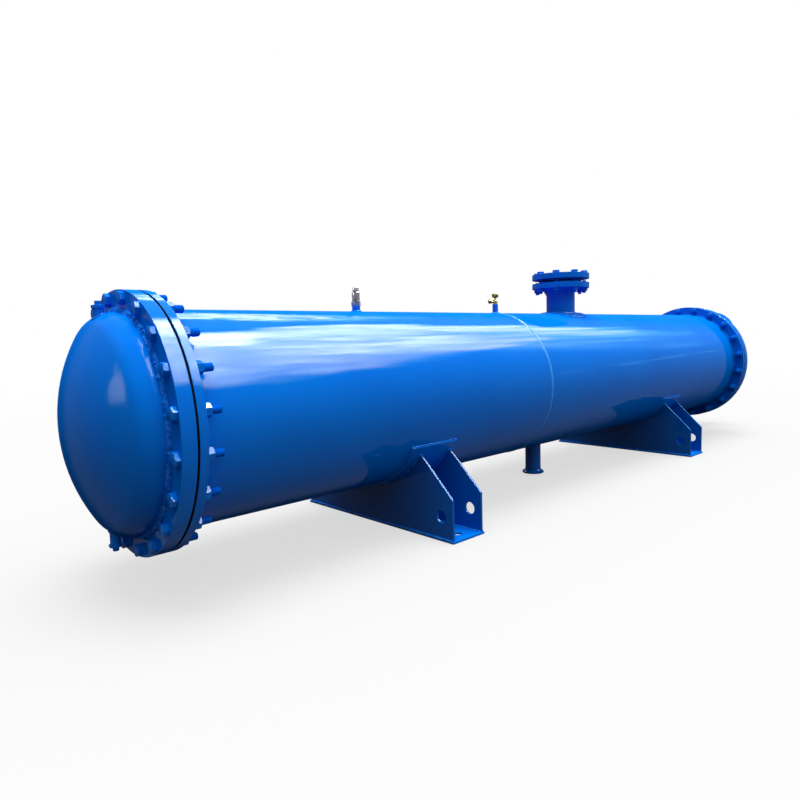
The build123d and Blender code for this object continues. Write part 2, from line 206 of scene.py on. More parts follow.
class EXCHANGER_PG_sizes(bpy.types.PropertyGroup):
    plate_edge: FloatProperty(
        name="Plate edge", description="Rounding of cut plate edges", unit="LENGTH", default=0.0012)
    flange_edge: FloatProperty(
        name="Flange edge", description="Rounding of machined flange edges", unit="LENGTH", default=0.0012)
    joint_cut: FloatProperty(
        name="Joint cut", description="Cut on the edges beside each head gasket", unit="LENGTH",
        default=0.0016)
    head_weld: FloatProperty(
        name="Head weld", description="Radius of the passes of weld round each dished head", unit="LENGTH",
        default=0.0042)
    shell_weld: FloatProperty(
        name="Shell weld", description="Radius of the weld at each tube sheet", unit="LENGTH", default=0.0045)
    nozzle_weld: FloatProperty(
        name="Nozzle weld", description="Radius of the welds round the nozzles", unit="LENGTH",
        default=0.0045)
    saddle_weld: FloatProperty(
        name="Saddle weld", description="Radius of the welds on the saddles", unit="LENGTH", default=0.0035)
    weld_ripple: FloatProperty(
        name="Weld ripple", description="Spacing of the ripples along a weld", unit="LENGTH", default=0.0030)


class EXCHANGER_PG_stage(bpy.types.PropertyGroup):
    camera_place: FloatVectorProperty(
        name="Camera place", description="Where the camera stands", subtype="TRANSLATION", size=3,
        unit="LENGTH", default=(-2.0424, -1.4426, 0.5607))
    camera_heading: FloatProperty(
        name="Heading", description="Camera's turn from +Y towards +X", subtype="ANGLE", default=0.7575)
    camera_tilt: FloatProperty(
        name="Tilt", description="Camera's tilt below the level", subtype="ANGLE", default=0.0962)
    camera_roll: FloatProperty(
        name="Roll", description="Camera's turn about its own line of sight", subtype="ANGLE",
        default=-0.0279)
    lens: FloatProperty(
        name="Lens", description="Focal length on a 36 mm frame, in millimetres", default=27.86)
    shift_x: FloatProperty(name="Shift X", description="Sideways lens shift", default=-0.0100)
    shift_y: FloatProperty(name="Shift Y", description="Upright lens shift", default=-0.0032)
    pale: FloatProperty(
        name="Pale", description="Brightness of the background", min=0.0, max=1.0, default=1.0)
    fill: FloatProperty(
        name="Fill", description="Strength of the soft light from all round above", default=1.25)
    slant: FloatProperty(
        name="Slant", description="How much brighter the soft light is on the camera's right", default=0.66)
    low_light: FloatProperty(
        name="Low light", description="Strength of the soft light near the horizon on the camera's right",
        default=0.80)
    overhead: FloatProperty(
        name="Overhead", description="Strength of the lamp overhead", default=3.3)
    window: FloatProperty(
        name="Window", description="Strength of the bright sky that the gloss reflects", default=1.67)
    shadow_lift: FloatProperty(
        name="Shadow lift", description="How far the floor's shadow is lightened", min=0.0, max=1.0,
        default=0.65)


def sizes():
    return bpy.context.scene.exchanger_sizes


def finish():
    return bpy.context.scene.exchanger_finish


# Shader node helpers

class Wire:
    """A value in a shader tree. Sums, products and ranges of it add their own nodes."""

    def __init__(self, socket):
        self.socket = socket

    def node(self, kind, output, inputs, **values):
        return Wire(add_node(self.socket.id_data, kind, inputs, **values).outputs[output])

    def math(self, operation, *others):
        return self.node("ShaderNodeMath", 0, dict(enumerate((self, *others))), operation=operation)

    def __add__(self, other):
        return self.math("ADD", other)

    def __sub__(self, other):
        return self.math("SUBTRACT", other)

    def __mul__(self, other):
        return self.math("MULTIPLY", other)

    def most(self, other):
        return self.math("MAXIMUM", other)

    def rest(self):
        """What is left of one."""
        return self.node("ShaderNodeMath", 0, {0: 1.0, 1: self}, operation="SUBTRACT")

    def part(self, axis):
        return self.node("ShaderNodeSeparateXYZ", axis, {0: self})

    def line(self, low, high, to_low, to_high, kind="LINEAR"):
        """Map one range evenly onto another, and hold its ends."""
        inputs = {"Value": self, "From Min": low, "From Max": high, "To Min": to_low, "To Max": to_high}
        return self.node("ShaderNodeMapRange", "Result", inputs, interpolation_type=kind)

    def ramp(self, low, high, to_low=0.0, to_high=1.0):
        """Map one range smoothly onto another, and hold its ends."""
        return self.line(low, high, to_low, to_high, "SMOOTHSTEP")

    def patch(self, start, full, fade, end):
        """One between the two middle edges, falling smoothly to zero at the outer two."""
        return self.ramp(start, full) * self.ramp(fade, end, 1.0, 0.0)

    def noise(self, scale, detail=2.0, roughness=0.5, distortion=0.0):
        inputs = {
            "Vector": self, "Scale": scale, "Detail": detail, "Roughness": roughness,
            "Distortion": distortion}
        return self.node("ShaderNodeTexNoise", "Fac", inputs)

    def mix(self, first, second):
        """A colour that goes from the first to the second as the value goes from zero to one."""
        return self.node("ShaderNodeMix", 2, {0: self, 6: first, 7: second}, data_type="RGBA")


def feed(socket, value):
    """Feed a socket from a wire, or set it to a plain number, vector or colour."""
    if isinstance(value, Wire):
        socket.id_data.links.new(value.socket, socket)
    else:
        socket.default_value = value


def set_inputs(node, inputs):
    for name, value in inputs.items():
        feed(node.inputs[name], value)


def add_node(tree, kind, inputs=None, **values):
    """Add a shader node, set its own values, feed its inputs and return it."""
    node = tree.nodes.new(kind)
    for key, value in values.items():
        setattr(node, key, value)
    set_inputs(node, inputs or {})
    return node


def wires(node):
    return {output.name: Wire(output) for output in node.outputs}


def object_place(tree, stretch=(1.0, 1.0, 1.0)):
    """Object coordinates, scaled along each axis."""
    place = wires(add_node(tree, "ShaderNodeTexCoord"))["Object"]
    return place.node("ShaderNodeMapping", "Vector", {"Vector": place, "Scale": stretch})


def facing_up(tree):
    return Wire(add_node(tree, "ShaderNodeNewGeometry").outputs["Normal"]).part("Z")


def start_group(name, inputs, outputs):
    """A new shader group with named sockets: its tree, the wires of its inputs and its output node."""
    tree = bpy.data.node_groups.new(name, "ShaderNodeTree")
    for label, default in inputs.items():
        socket = tree.interface.new_socket(name=label, in_out="INPUT", socket_type="NodeSocketFloat")
        socket.default_value = default
    for label in outputs:
        tree.interface.new_socket(name=label, in_out="OUTPUT", socket_type="NodeSocketFloat")
    return tree, wires(add_node(tree, "NodeGroupInput")), add_node(tree, "NodeGroupOutput")


def paint_relief_group():
    """Height in metres of a sprayed coat: the plate's slow waves and the coat's fine peel."""
    inputs = {"Wave Height": 0.0002, "Wave Scale": 6.0, "Peel Height": 0.000004}
    tree, source, result = start_group("paint_relief", inputs, ["Height"])
    place = object_place(tree)
    waves = place.noise(source["Wave Scale"], 1.5, 0.45) * source["Wave Height"]
    set_inputs(result, {"Height": place.noise(420.0) * source["Peel Height"] + waves})


def paint_tone_group():
    """Masks of a painted surface: slow drift in tone, small runs of thick paint, and dust."""
    tree, source, result = start_group("paint_tone", {"Drift Scale": 3.0}, ["Drift", "Speck", "Dust"])
    place = object_place(tree)
    set_inputs(result, {
        "Drift": place.noise(source["Drift Scale"], 4.0, 0.55).ramp(0.3, 0.7),
        "Speck": place.noise(160.0, 3.0, 0.6).ramp(0.66, 0.76),
        "Dust": facing_up(tree).ramp(0.6, 1.0) * place.noise(28.0, 5.0, 0.65).ramp(0.45, 0.75)})


def weld_relief_group():
    """Height in metres of a painted weld, with its lumps and a rough skin, and a mask of its crests, where
    the weld's colour carries a painted highlight.
    """
    tree, source, result = start_group("weld_relief", {"Lump Height": 0.0008}, ["Height", "Crest"])
    place = object_place(tree)
    lumps = place.noise(70.0, 3.0, 0.6, 0.4)
    skin = place.noise(420.0, 3.0, 0.6) * (source["Lump Height"] * 0.18)
    set_inputs(result, {"Height": lumps * source["Lump Height"] + skin, "Crest": lumps.ramp(0.42, 0.68)})


def group_wires(tree, name, inputs):
    """Place a shared group in a tree with its own values; returns the wires of its outputs."""
    return wires(add_node(tree, "ShaderNodeGroup", inputs, node_tree=bpy.data.node_groups[name]))


def new_material(name):
    """A new material's tree and its Principled shader."""
    made = bpy.data.materials.new(name)
    made.use_nodes = True
    tree = made.node_tree
    tree.nodes.clear()
    shader = add_node(tree, "ShaderNodeBsdfPrincipled")
    add_node(tree, "ShaderNodeOutputMaterial", {"Surface": Wire(shader.outputs[0])})
    return tree, shader


def rgba(colour, factor=1.0):
    return (colour[0] * factor, colour[1] * factor, colour[2] * factor, 1.0)


def add_bump(shader, height, coat=False):
    """Turn a height in metres into the shader's normal, and its coat's where it has one."""
    normal = height.node("ShaderNodeBump", "Normal", {"Height": height, "Distance": 1.0, "Strength": 1.0})
    feed(shader.inputs["Normal"], normal)
    if coat:
        feed(shader.inputs["Coat Normal"], normal)


def set_gloss(shader, coat_roughness, weight=1.0):
    """The gloss coat: thinner on surfaces that face down, and at a glancing angle."""
    tree = shader.id_data
    glance = wires(add_node(tree, "ShaderNodeLayerWeight", {"Blend": 0.5}))["Facing"]
    spray = facing_up(tree).ramp(0.36, 0.56, 0.19 * weight, 0.30 * weight)
    set_inputs(shader, {
        "Metallic": 0.0, "Specular IOR Level": 0.0, "Coat Roughness": coat_roughness,
        "Coat IOR": finish().coat_ior, "Coat Weight": spray * glance.ramp(0.62, 0.82, 1.0, 0.05)})


def enamel_material(name, waves, peel_height, roughness, drift_scale=3.0, depth=1.0, weight=1.0):
    """Glossy blue enamel over steel, with the height and scale of its waves; a depth under one darkens its
    colour as painted shade.
    """
    tree, shader = new_material(name)
    tone = group_wires(tree, "paint_tone", {"Drift Scale": drift_scale})
    relief = group_wires(
        tree, "paint_relief", {"Wave Height": waves[0], "Wave Scale": waves[1], "Peel Height": peel_height})
    # A depth under one darkens both tones as painted shade
    base = tone["Drift"].mix(rgba(finish().enamel, depth), rgba(finish().enamel_deep_and_shade, depth))
    dust_share, dust_grey = 0.4, 0.45
    dusty = [channel * (1.0 - dust_share) + dust_share * dust_grey for channel in finish().enamel]
    set_inputs(shader, {
        "Base Color": (tone["Dust"] * 0.06).mix(base, rgba(dusty)), "Roughness": tone["Speck"] * 0.15 + 0.42})
    set_gloss(shader, roughness, weight)
    add_bump(shader, relief["Height"], True)


def weld_material(name, hollow, crown, lump_height, gloss):
    """Blue enamel laid thick over a weld, with a painted highlight that lightens its crests and painted shade
    that darkens its hollows.
    """
    tree, shader = new_material(name)
    relief = group_wires(tree, "weld_relief", {"Lump Height": lump_height})
    crest = relief["Crest"]
    set_inputs(shader, {"Base Color": crest.mix(rgba(hollow), rgba(crown)), "Roughness": crest * -0.1 + 0.5})
    set_gloss(shader, gloss)
    add_bump(shader, relief["Height"], True)


def gasket_material():
    """Black rubbery sheet with a fine grain."""
    tree, shader = new_material("gasket_sheet")
    grain = object_place(tree).noise(260.0, 3.0, 0.6)
    set_inputs(shader, {
        "Base Color": grain.mix(rgba(finish().gasket, 0.5), rgba(finish().gasket, 1.5)),
        "Roughness": grain.line(0.3, 0.7, 0.55, 0.8), "Specular IOR Level": 0.0})
    add_bump(shader, grain * 0.00006)


def tube_material():
    """Bare steel tube with a tarnish that varies over it."""
    tree, shader = new_material("tube_steel")
    patches = object_place(tree).noise(55.0, 4.0, 0.6).ramp(0.38, 0.66)
    set_inputs(shader, {
        "Base Color": patches.mix((0.300, 0.270, 0.250, 1.0), (0.130, 0.095, 0.075, 1.0)),
        "Roughness": patches * 0.18 + 0.38, "Metallic": 1.0})
    add_bump(shader, object_place(tree, (60.0, 60.0, 900.0)).noise(6.0) * 0.00008)


def stained_metal(name, scale, colour, light, dark, polish):
    """A turned metal stained in patches; returns its shader, place, stain, patches and colour."""
    tree, shader = new_material(name)
    place = object_place(tree)
    stain = place.noise(scale, 4.0, 0.65)
    patches = stain.ramp(0.36, 0.64)
    feed(shader.inputs["Roughness"], patches.line(0.0, 1.0, *polish))
    add_bump(shader, stain * 0.0002)
    return shader, place, stain, patches, patches.mix(rgba(colour, light), rgba(colour, dark))


def safety_valve_material():
    """Grey turned steel with a pale cap and painted shade darkening the groove under it, dusted with blue
    where the sprayer caught it.
    """
    colour = finish().steel
    shader, place, stain, _, steel = stained_metal(
        "safety_valve_steel", 130.0, colour, 1.2, 0.55, (0.24, 0.46))
    height = place.part("Z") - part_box("safety_valve")[0].z
    cap = height.line(SAFETY_CAP_START - 0.0005, SAFETY_CAP_START + 0.0005, 0.0, 1.0)
    # Painted shade: the groove under the cap is coloured near black
    groove_shade = height.patch(*SAFETY_GROOVE_SHADE)
    spray = (stain * 0.030 + height).ramp(*SAFETY_SPRAY, 0.75, 0.0)
    groove_shaded = groove_shade.mix(cap.mix(steel, rgba(colour, 1.8)), (0.008, 0.008, 0.010, 1.0))
    set_inputs(shader, {
        "Base Color": spray.mix(groove_shaded, rgba(finish().enamel, 0.8)), "Metallic": spray.most(groove_shade).rest()})


def gauge_valve_material():
    """Dull brass gone brown, darkest on its knob and at the end of its port."""
    low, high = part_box("gauge_valve")
    shader, place, _, patches, brass = stained_metal(
        "gauge_valve_brass", 150.0, finish().brass, 1.1, 0.6, (0.26, 0.48))
    knob = place.part("Z").ramp(high.z - 0.0165, high.z - 0.0145)
    end = place.part("X").ramp(low.x + 0.010, low.x + 0.013, 1.0, 0.0)
    dark = knob.most(end) * patches.line(0.0, 1.0, 0.80, 0.95)
    set_inputs(shader, {"Base Color": dark.mix(brass, (0.055, 0.045, 0.020, 1.0)), "Metallic": 1.0})


# Mesh helpers

def finish_piece(name, bm, material_name, replaces=(), sharp=35.0):
    """Turn a bmesh into a piece of the exchanger, smooth but for its sharp edges."""
    mesh = bpy.data.meshes.new(name)
    bm.to_mesh(mesh)
    bm.free()
    mesh.shade_smooth()
    mesh.set_sharp_from_angle(angle=math.radians(sharp))
    mesh.materials.append(bpy.data.materials[material_name])
    piece = bpy.data.objects.new(name, mesh)
    bpy.context.scene.collection.objects.link(piece)
    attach(piece, "root")
    if replaces:
        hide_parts(*replaces)
    return piece


def keep_flat(piece):
    """Let a piece's flat faces stay flat in their shading, beside its rounded edges."""
    weighted = piece.modifiers.new("flat_faces", "WEIGHTED_NORMAL")
    weighted.keep_sharp = True
    weighted.weight = 100


def rounded_plate(name, node, width, material_name):
    """A node's plate again from its merged triangles, with rounded edges and flat faces that stay flat."""
    bm = bmesh.new()
    bm.from_mesh(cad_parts[node].data)
    bmesh.ops.remove_doubles(bm, verts=bm.verts, dist=0.00001)
    bmesh.ops.dissolve_limit(
        bm, angle_limit=math.radians(0.6), use_dissolve_boundaries=False, verts=bm.verts, edges=bm.edges,
        delimit={"NORMAL"})
    bend = math.radians(30.0)
    edges = [edge for edge in bm.edges if len(edge.link_faces) == 2 and edge.calc_face_angle() > bend]
    bmesh.ops.bevel(
        bm, geom=edges, offset=width, offset_type="OFFSET", segments=2, profile=0.5, affect="EDGES",
        clamp_overlap=True, material=-1, loop_slide=True)
    keep_flat(finish_piece(name, bm, material_name, [node], sharp=SHARP_PLATE))


def hex_prism(flats, start, end, chamfer_start=True, chamfer_end=True):
    """A hexagonal prism along Z whose corners are turned off at the ends that are asked for."""
    rim_cuts = 3
    inset_share = 0.035
    turned_share = 0.97
    chamfer = math.tan(math.radians(30.0))
    bm = bmesh.new()
    corner = flats / math.sqrt(3.0)
    bmesh.ops.create_cone(bm, cap_ends=True, segments=6, radius1=corner, radius2=corner, depth=end - start)
    bmesh.ops.translate(bm, verts=bm.verts, vec=(0, 0, (start + end) / 2))
    level = [edge for edge in bm.edges if abs(edge.verts[0].co.z - edge.verts[1].co.z) < NEAR]
    bmesh.ops.subdivide_edges(bm, edges=level, cuts=rim_cuts, use_grid_fill=False)
    caps = [face for height in (start, end) for face in bm.faces if at_height(face, height)]
    bmesh.ops.inset_individual(bm, faces=caps, thickness=flats * inset_share, depth=0.0)
    turned = flats / 2 * turned_share
    for vert in bm.verts:
        drop = max(0.0, math.hypot(vert.co.x, vert.co.y) - turned) * chamfer
        if chamfer_end and abs(vert.co.z - end) < NEAR:
            vert.co.z -= drop
        if chamfer_start and abs(vert.co.z - start) < NEAR:
            vert.co.z += drop
    return bm


def solid_spin(profile, steps):
    """Spin an outline of (radius, height) points about Z into a closed solid, its faces turned outwards."""
    bm = bmesh.new()
    verts = [bm.verts.new((radius, 0.0, height)) for radius, height in profile]
    edges = [bm.edges.new(pair) for pair in zip(verts, verts[1:])]
    bmesh.ops.spin(
        bm, geom=verts + edges, cent=(0, 0, 0), axis=(0, 0, 1), angle=2 * math.pi, steps=steps,
        use_merge=True, use_duplicate=False)
    bmesh.ops.remove_doubles(bm, verts=bm.verts, dist=0.000002)
    bmesh.ops.recalc_face_normals(bm, faces=bm.faces)
    return bm


def rounded_outline(corners, rounding, closed=True):
    """An outline of (radius, height) corners, rounded off but for the two ends of an open one."""
    cuts = 3
    most = 0.4
    points = []
    for index, corner in enumerate(corners):
        here = Vector(corner)
        if not closed and index in (0, len(corners) - 1):
            points.append(tuple(here))
            continue
        before = Vector(corners[index - 1]) - here
        after = Vector(corners[(index + 1) % len(corners)]) - here
        reach = min(rounding, before.length * most, after.length * most)
        start = here + before.normalized() * reach
        end = here + after.normalized() * reach
        for step in range(cuts + 1):
            share = step / cuts
            bend = start * (1 - share) ** 2 + here * (2 * share * (1 - share)) + end * share**2
            points.append(tuple(bend))
    return points + points[:1] if closed else points


def at_height(element, height):
    return all(abs(vert.co.z - height) < NEAR for vert in element.verts)


def drill(bm, holes, low, high):
    """Drill holes, given as (x, y, radius, sides), through the flat faces at two heights."""
    rims = []
    for height in (low, high):
        flat = [face for face in bm.faces if at_height(face, height)]
        bmesh.ops.delete(bm, geom=flat, context="FACES")
        edges = [edge for edge in bm.edges if edge.is_boundary and at_height(edge, height)]
        made_rims = []
        for x, y, radius, sides in holes:
            made = bmesh.ops.create_circle(
                bm, cap_ends=False, segments=sides, radius=radius, matrix=Matrix.Translation((x, y, height)))
            rim = list({edge for vert in made["verts"] for edge in vert.link_edges})
            made_rims.append(rim)
            edges += rim
        bmesh.ops.triangle_fill(bm, use_beauty=True, use_dissolve=False, edges=edges)
        rims.append(made_rims)
    for lower, upper in zip(*rims):
        bmesh.ops.bridge_loops(bm, edges=lower + upper)
    bmesh.ops.recalc_face_normals(bm, faces=bm.faces)


def along_x(x, z=AXIS_HEIGHT, direction=1):
    """The place of a piece that is turned about the shell's axis, or about one beside it."""
    return Matrix.Translation((x, 0.0, z)) @ Matrix.Rotation(direction * math.pi / 2, 4, "Y")


def turned_plate(
        name, node, outline, place, holes=(), flats=(), material_name="plate_enamel"):
    """A turned plate in a node's place, with its holes drilled between two of its flat faces."""
    bm = solid_spin(outline, TURNED_STEPS)
    if holes:
        drill(bm, holes, *flats)
    bmesh.ops.transform(bm, matrix=place, verts=bm.verts)
    keep_flat(finish_piece(name, bm, material_name, [node], SHARP_TURNED))


def add_mesh(bm, other, matrix):
    """Copy another bmesh into this one at a place, and turn it with it."""
    copy = other.copy()
    bmesh.ops.transform(copy, matrix=matrix, verts=copy.verts)
    mesh = bpy.data.meshes.new("part")
    copy.to_mesh(mesh)
    copy.free()
    bm.from_mesh(mesh)
    bpy.data.meshes.remove(mesh)


def joined(*parts):
    """One bmesh from (bmesh, place) pairs, which are used up."""
    bm = bmesh.new()
    for part, place in parts:
        add_mesh(bm, part, place)
        part.free()
    return bm


def middle(node):
    low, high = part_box(node)
    return (low + high) / 2


def half_width(node, axis=0):
    low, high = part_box(node)
    return (high[axis] - low[axis]) / 2


def ring(count, radius):
    """Points spread evenly round a circle, the first of them half a step on."""
    angles = [2 * math.pi * (index + 0.5) / count for index in range(count)]
    return [(radius * math.cos(angle), radius * math.sin(angle)) for angle in angles]


def ring_x(x, radius, count=None, height=AXIS_HEIGHT):
    """Points round a circle in the plane across the shell, as many as a weld takes if no count is given."""
    points = ring(count or ring_steps(radius), radius)
    return [Vector((x, across, height + rise)) for across, rise in points]


def ring_z(x, radius, height, count=None):
    """Points round a level circle, as many as a weld takes if no count is given."""
    points = ring(count or ring_steps(radius), radius)
    return [Vector((x + along, across, height)) for along, across in points]


def hole_ring(circle, count, hole):
    return [(x, y, hole / 2, HOLE_SIDES) for x, y in ring(count, circle / 2)]


def thread_outline(size, pitch, start, end):
    """The zigzag outline of a threaded bolt end, from its axis at the start to its axis at the end."""
    depth = 0.61
    crest = size / 2
    root = crest - depth * pitch
    outline = [(0.0, start), (crest, start)]
    height = start + pitch / 2
    while height < end - pitch:
        outline += [(root, height), (crest, height + pitch / 2)]
        height += pitch
    return outline + [(root, end - 0.3 * pitch), (root - 0.4 * pitch, end), (0.0, end)]


def bolt_ring(name, bolt, grip, places, direction, node, rng):
    """A ring of bolts, each of its parts turned by its own angle; a bolt's seat is at zero along its Z."""
    thread = thread_outline(bolt.size, bolt.pitch, grip * 0.5, bolt.length)
    parts = (
        hex_prism(bolt.flats, -bolt.head, 0.0, True, False), hex_prism(bolt.flats, grip, grip + bolt.nut),
        solid_spin(thread, BOLT_STEPS))
    bm = bmesh.new()
    for place in places:
        for part in parts:
            spin_by = Matrix.Rotation(rng.uniform(0.0, 2 * math.pi), 4, "Z")
            add_mesh(bm, part, Matrix.Translation(place) @ direction @ spin_by)
    for part in parts:
        part.free()
    finish_piece(name, bm, "bolt_enamel", [node], sharp=SHARP_CUT)


# Weld beads

def steps_for(length):
    return max(8, int(length / sizes().weld_ripple) * 2)


def ring_steps(radius):
    return steps_for(2 * math.pi * radius)


class Beads:
    """Weld beads that are laid one by one and made one piece."""

    def __init__(self, rng, radius):
        self.rng = rng
        self.radius = radius
        self.curve = bpy.data.curves.new("beads", "CURVE")
        self.curve.dimensions = "3D"
        self.curve.bevel_resolution = 2
        self.curve.use_fill_caps = True
        self.curve.bevel_depth = 1.0

    def lay(self, points, share=1.0, closed=True, ripple=0.10, wander=0.06):
        """Lay one bead along the points, with ripples across it and an uneven width."""
        spline = self.curve.splines.new("POLY")
        spline.points.add(len(points) - 1)
        width = 1.0
        for index, (point, place) in enumerate(zip(spline.points, points)):
            width += self.rng.uniform(-wander, wander) * 0.5
            width = min(1.0 + 2 * wander, max(1.0 - 2 * wander, width))
            swell = 1.0 + ripple * (1.0 if index % 2 else -1.0) * self.rng.uniform(0.6, 1.0)
            point.co = (*place, 1.0)
            point.radius = self.radius * share * swell * width
        spline.use_cyclic_u = closed

    def piece(self, name, lumps=0.0):
        """Make the beads one mesh piece, its points pushed in and out by a noise where it is lumpy."""
        holder = bpy.data.objects.new(name + "_line", self.curve)
        mesh = bpy.data.meshes.new_from_object(holder)
        bpy.data.objects.remove(holder)
        bpy.data.curves.remove(self.curve)
        bm = bmesh.new()
        bm.from_mesh(mesh)
        bpy.data.meshes.remove(mesh)
        bmesh.ops.remove_doubles(bm, verts=bm.verts, dist=0.000005)
        bmesh.ops.recalc_face_normals(bm, faces=bm.faces)
        if lumps:
            bm.normal_update()
            for vert in bm.verts:
                vert.co += vert.normal * lumps * noise.noise(vert.co * 140.0)
        finish_piece(name, bm, "weld_enamel", sharp=SHARP_WELD)


# The dished heads' curve

def dome_crown():
    """The radius of the dished heads' crown."""
    across = HEAD_RADIUS - HEAD_KNUCKLE
    depth = HEAD_DEPTH - HEAD_STRAIGHT
    return (across**2 + depth**2 - HEAD_KNUCKLE**2) / (2 * (depth - HEAD_KNUCKLE))


def head_arc(inset):
    """The head's curve from its pole to the end of its knuckle, a distance under its outer face."""
    crown_steps, knuckle_steps = 20, 14
    across = HEAD_RADIUS - HEAD_KNUCKLE
    crown = dome_crown()
    centre = HEAD_DEPTH - crown
    tilt = math.atan2(across, HEAD_STRAIGHT - centre)
    points = []
    for step in range(crown_steps + 1):
        angle = tilt * step / crown_steps
        points.append(((crown - inset) * math.sin(angle), centre + (crown - inset) * math.cos(angle)))
    knuckle = HEAD_KNUCKLE - inset
    for step in range(1, knuckle_steps + 1):
        angle = tilt + (math.pi / 2 - tilt) * step / knuckle_steps
        points.append((across + knuckle * math.sin(angle), HEAD_STRAIGHT + knuckle * math.cos(angle)))
    return points


def dome_reach(radius):
    """How far a dished head stands off its flange at a distance from its axis."""
    across = HEAD_RADIUS - HEAD_KNUCKLE
    crown = dome_crown()
    if radius < across * crown / (crown - HEAD_KNUCKLE):
        return HEAD_DEPTH - crown + math.sqrt(crown**2 - radius**2)
    return HEAD_STRAIGHT + math.sqrt(max(0.0, HEAD_KNUCKLE**2 - (radius - across) ** 2))


def dome_girth(reach):
    """The head's outer radius at a distance from its flange, along its straight part and knuckle."""
    if reach <= HEAD_STRAIGHT:
        return HEAD_RADIUS
    return HEAD_RADIUS - HEAD_KNUCKLE + math.sqrt(HEAD_KNUCKLE**2 - (reach - HEAD_STRAIGHT) ** 2)


# World and lights

def pale_rays(rays):
    """One for the rays that see the pale background: from the camera, a reflection or a clear piece."""
    return rays["Is Camera Ray"].most(rays["Is Glossy Ray"]).most(rays["Is Transmission Ray"])


def bright_sky(direction, elevation, heading):
    """The bright cloud over the far right that the gloss shows, with faint patches beside it, in degrees."""
    streaks = direction.noise(5.5, 4.0, 0.62, 0.5)
    wisps = direction.noise(19.0, 5.0, 0.62, 1.2)
    # Strips and threads lie along the shell in its reflection
    around = direction.part("Z").math("ARCTAN2", direction.part("Y")) * 8.0
    strands = around.node("ShaderNodeCombineXYZ", 0, {"X": around, "Y": direction.part("X") * 8.0})
    strips = strands.noise(0.45, 3.0, 0.55)
    threads = strands.noise(1.0, 4.0, 0.62)
    wander = streaks * 12.0 + strips * 7.0 + threads * 4.0 - 11.5
    rise = elevation + wander
    turn = heading + wander * 0.6
    body = rise.ramp(29.5, 36.5, 0.0, 15.0) + rise.line(34.0, 56.0, 0.0, 22.0)
    body = body + rise.ramp(55.0, 64.0, 0.0, 46.0) * turn.patch(58.0, 84.0, 102.0, 120.0)
    body = body * rise.ramp(72.0, 82.0, 1.0, 0.1) * turn.ramp(150.0, 182.0, 1.0, 0.0)
    body = body * heading.ramp(72.0, 118.0, 0.72, 1.0) * heading.ramp(118.0, 140.0, 1.0, 1.45)
    body = body * (elevation.ramp(33.0, 50.0, 0.60, 0.0) * heading.ramp(90.0, 114.0, 1.0, 0.0)).rest()
    tongue = rise.patch(20.0, 30.0, 33.0, 40.0) * 4.8 + rise.ramp(13.0, 18.0, 0.0, 1.2)
    body = body + tongue * turn.ramp(106.0, 115.0, 1.0, 0.0)
    cloud = streaks.line(0.30, 0.62, 0.75, 1.15) * strips.line(0.34, 0.66, 0.66, 1.30)
    cloud = cloud * threads.line(0.36, 0.64, 0.64, 1.36)
    # The cloud's near edge leans over below this elevation
    below = (elevation * -1.0 + 46.0).most(0.0)
    near_edge = (turn + below * -1.40 + wander * 0.8).ramp(57.5, 66.5)
    side = rise.patch(26.0, 33.0, 41.0, 47.0) * turn.patch(20.0, 29.0, 38.0, 60.0)
    side = side * wisps.line(0.40, 0.56, 0.2, 1.4)
    behind = (elevation + wisps * 22.0 - 11.0).patch(5.0, 10.0, 15.0, 27.0)
    behind = behind * (heading + wisps * 26.0 - 13.0).patch(-79.0, -72.0, -66.0, -59.0)
    haze = rise.patch(18.0, 34.0, 50.0, 72.0) * heading.patch(-170.0, -135.0, -60.0, -20.0)
    haze = haze * wisps.ramp(0.44, 0.62)
    line = (elevation + heading * 0.27 + streaks * 3.0 - 1.5).patch(36.8, 38.0, 38.6, 40.4)
    line = line * heading.patch(98.0, 106.0, 118.0, 132.0) * wisps.ramp(0.46, 0.54)
    return body * near_edge * cloud + side * 14.0 + behind * 20.0 + haze * 2.6 + line * 2.0


def build_world(stage):
    """Soft light from above, the bright sky that the gloss reflects, and a pale background."""
    world = bpy.data.worlds.new("studio")
    bpy.context.scene.world = world
    world.use_nodes = True
    tree = world.node_tree
    tree.nodes.clear()
    rays = wires(add_node(tree, "ShaderNodeLightPath"))
    # The way that a ray leaves, its elevation and its turn from +Y towards +X
    direction = wires(add_node(tree, "ShaderNodeTexCoord"))["Generated"]
    elevation = direction.part("Z").math("ARCSINE") * DEGREES
    heading = direction.part("X").math("ARCTAN2", direction.part("Y")) * DEGREES
    side = direction.node(
        "ShaderNodeVectorMath", "Value", {0: direction, 1: CAMERA_RIGHT}, operation="DOT_PRODUCT")
    fill = (side * stage.slant + stage.fill) * elevation.ramp(12.0, 42.0, 0.03, 1.0)
    fill = fill + side.ramp(0.0, 0.9, 0.0, stage.low_light) * elevation.patch(-1.0, 1.0, 14.0, 40.0)
    level = fill.node("ShaderNodeMix", 0, {0: pale_rays(rays), 2: fill, 3: stage.pale}, data_type="FLOAT")
    glow = bright_sky(direction, elevation, heading) * stage.window
    tint = glow.ramp(1.5, 20.0).mix((0.30, 0.98, 0.75, 1.0), (0.88, 0.96, 0.75, 1.0))
    first = rays["Diffuse Depth"].math("MINIMUM", 1.0).rest() * rays["Is Glossy Ray"]
    soft = glow.node("ShaderNodeBackground", 0, {"Color": WHITE, "Strength": level})
    bright = glow.node("ShaderNodeBackground", 0, {"Color": tint, "Strength": glow * first})
    both = glow.node("ShaderNodeAddShader", 0, {0: soft, 1: bright})
    add_node(tree, "ShaderNodeOutputWorld", {"Surface": both})


def build_lamp(stage):
    """A broad soft lamp straight overhead."""
    lamp = bpy.data.lights.new("overhead", "SUN")
    lamp.energy = stage.overhead
    lamp.angle = math.radians(LAMP_SPREAD)
    holder = bpy.data.objects.new("overhead", lamp)
    holder.location = (0.0, 0.0, LAMP_HEIGHT)
    holder.visible_glossy = False
    bpy.context.scene.collection.objects.link(holder)


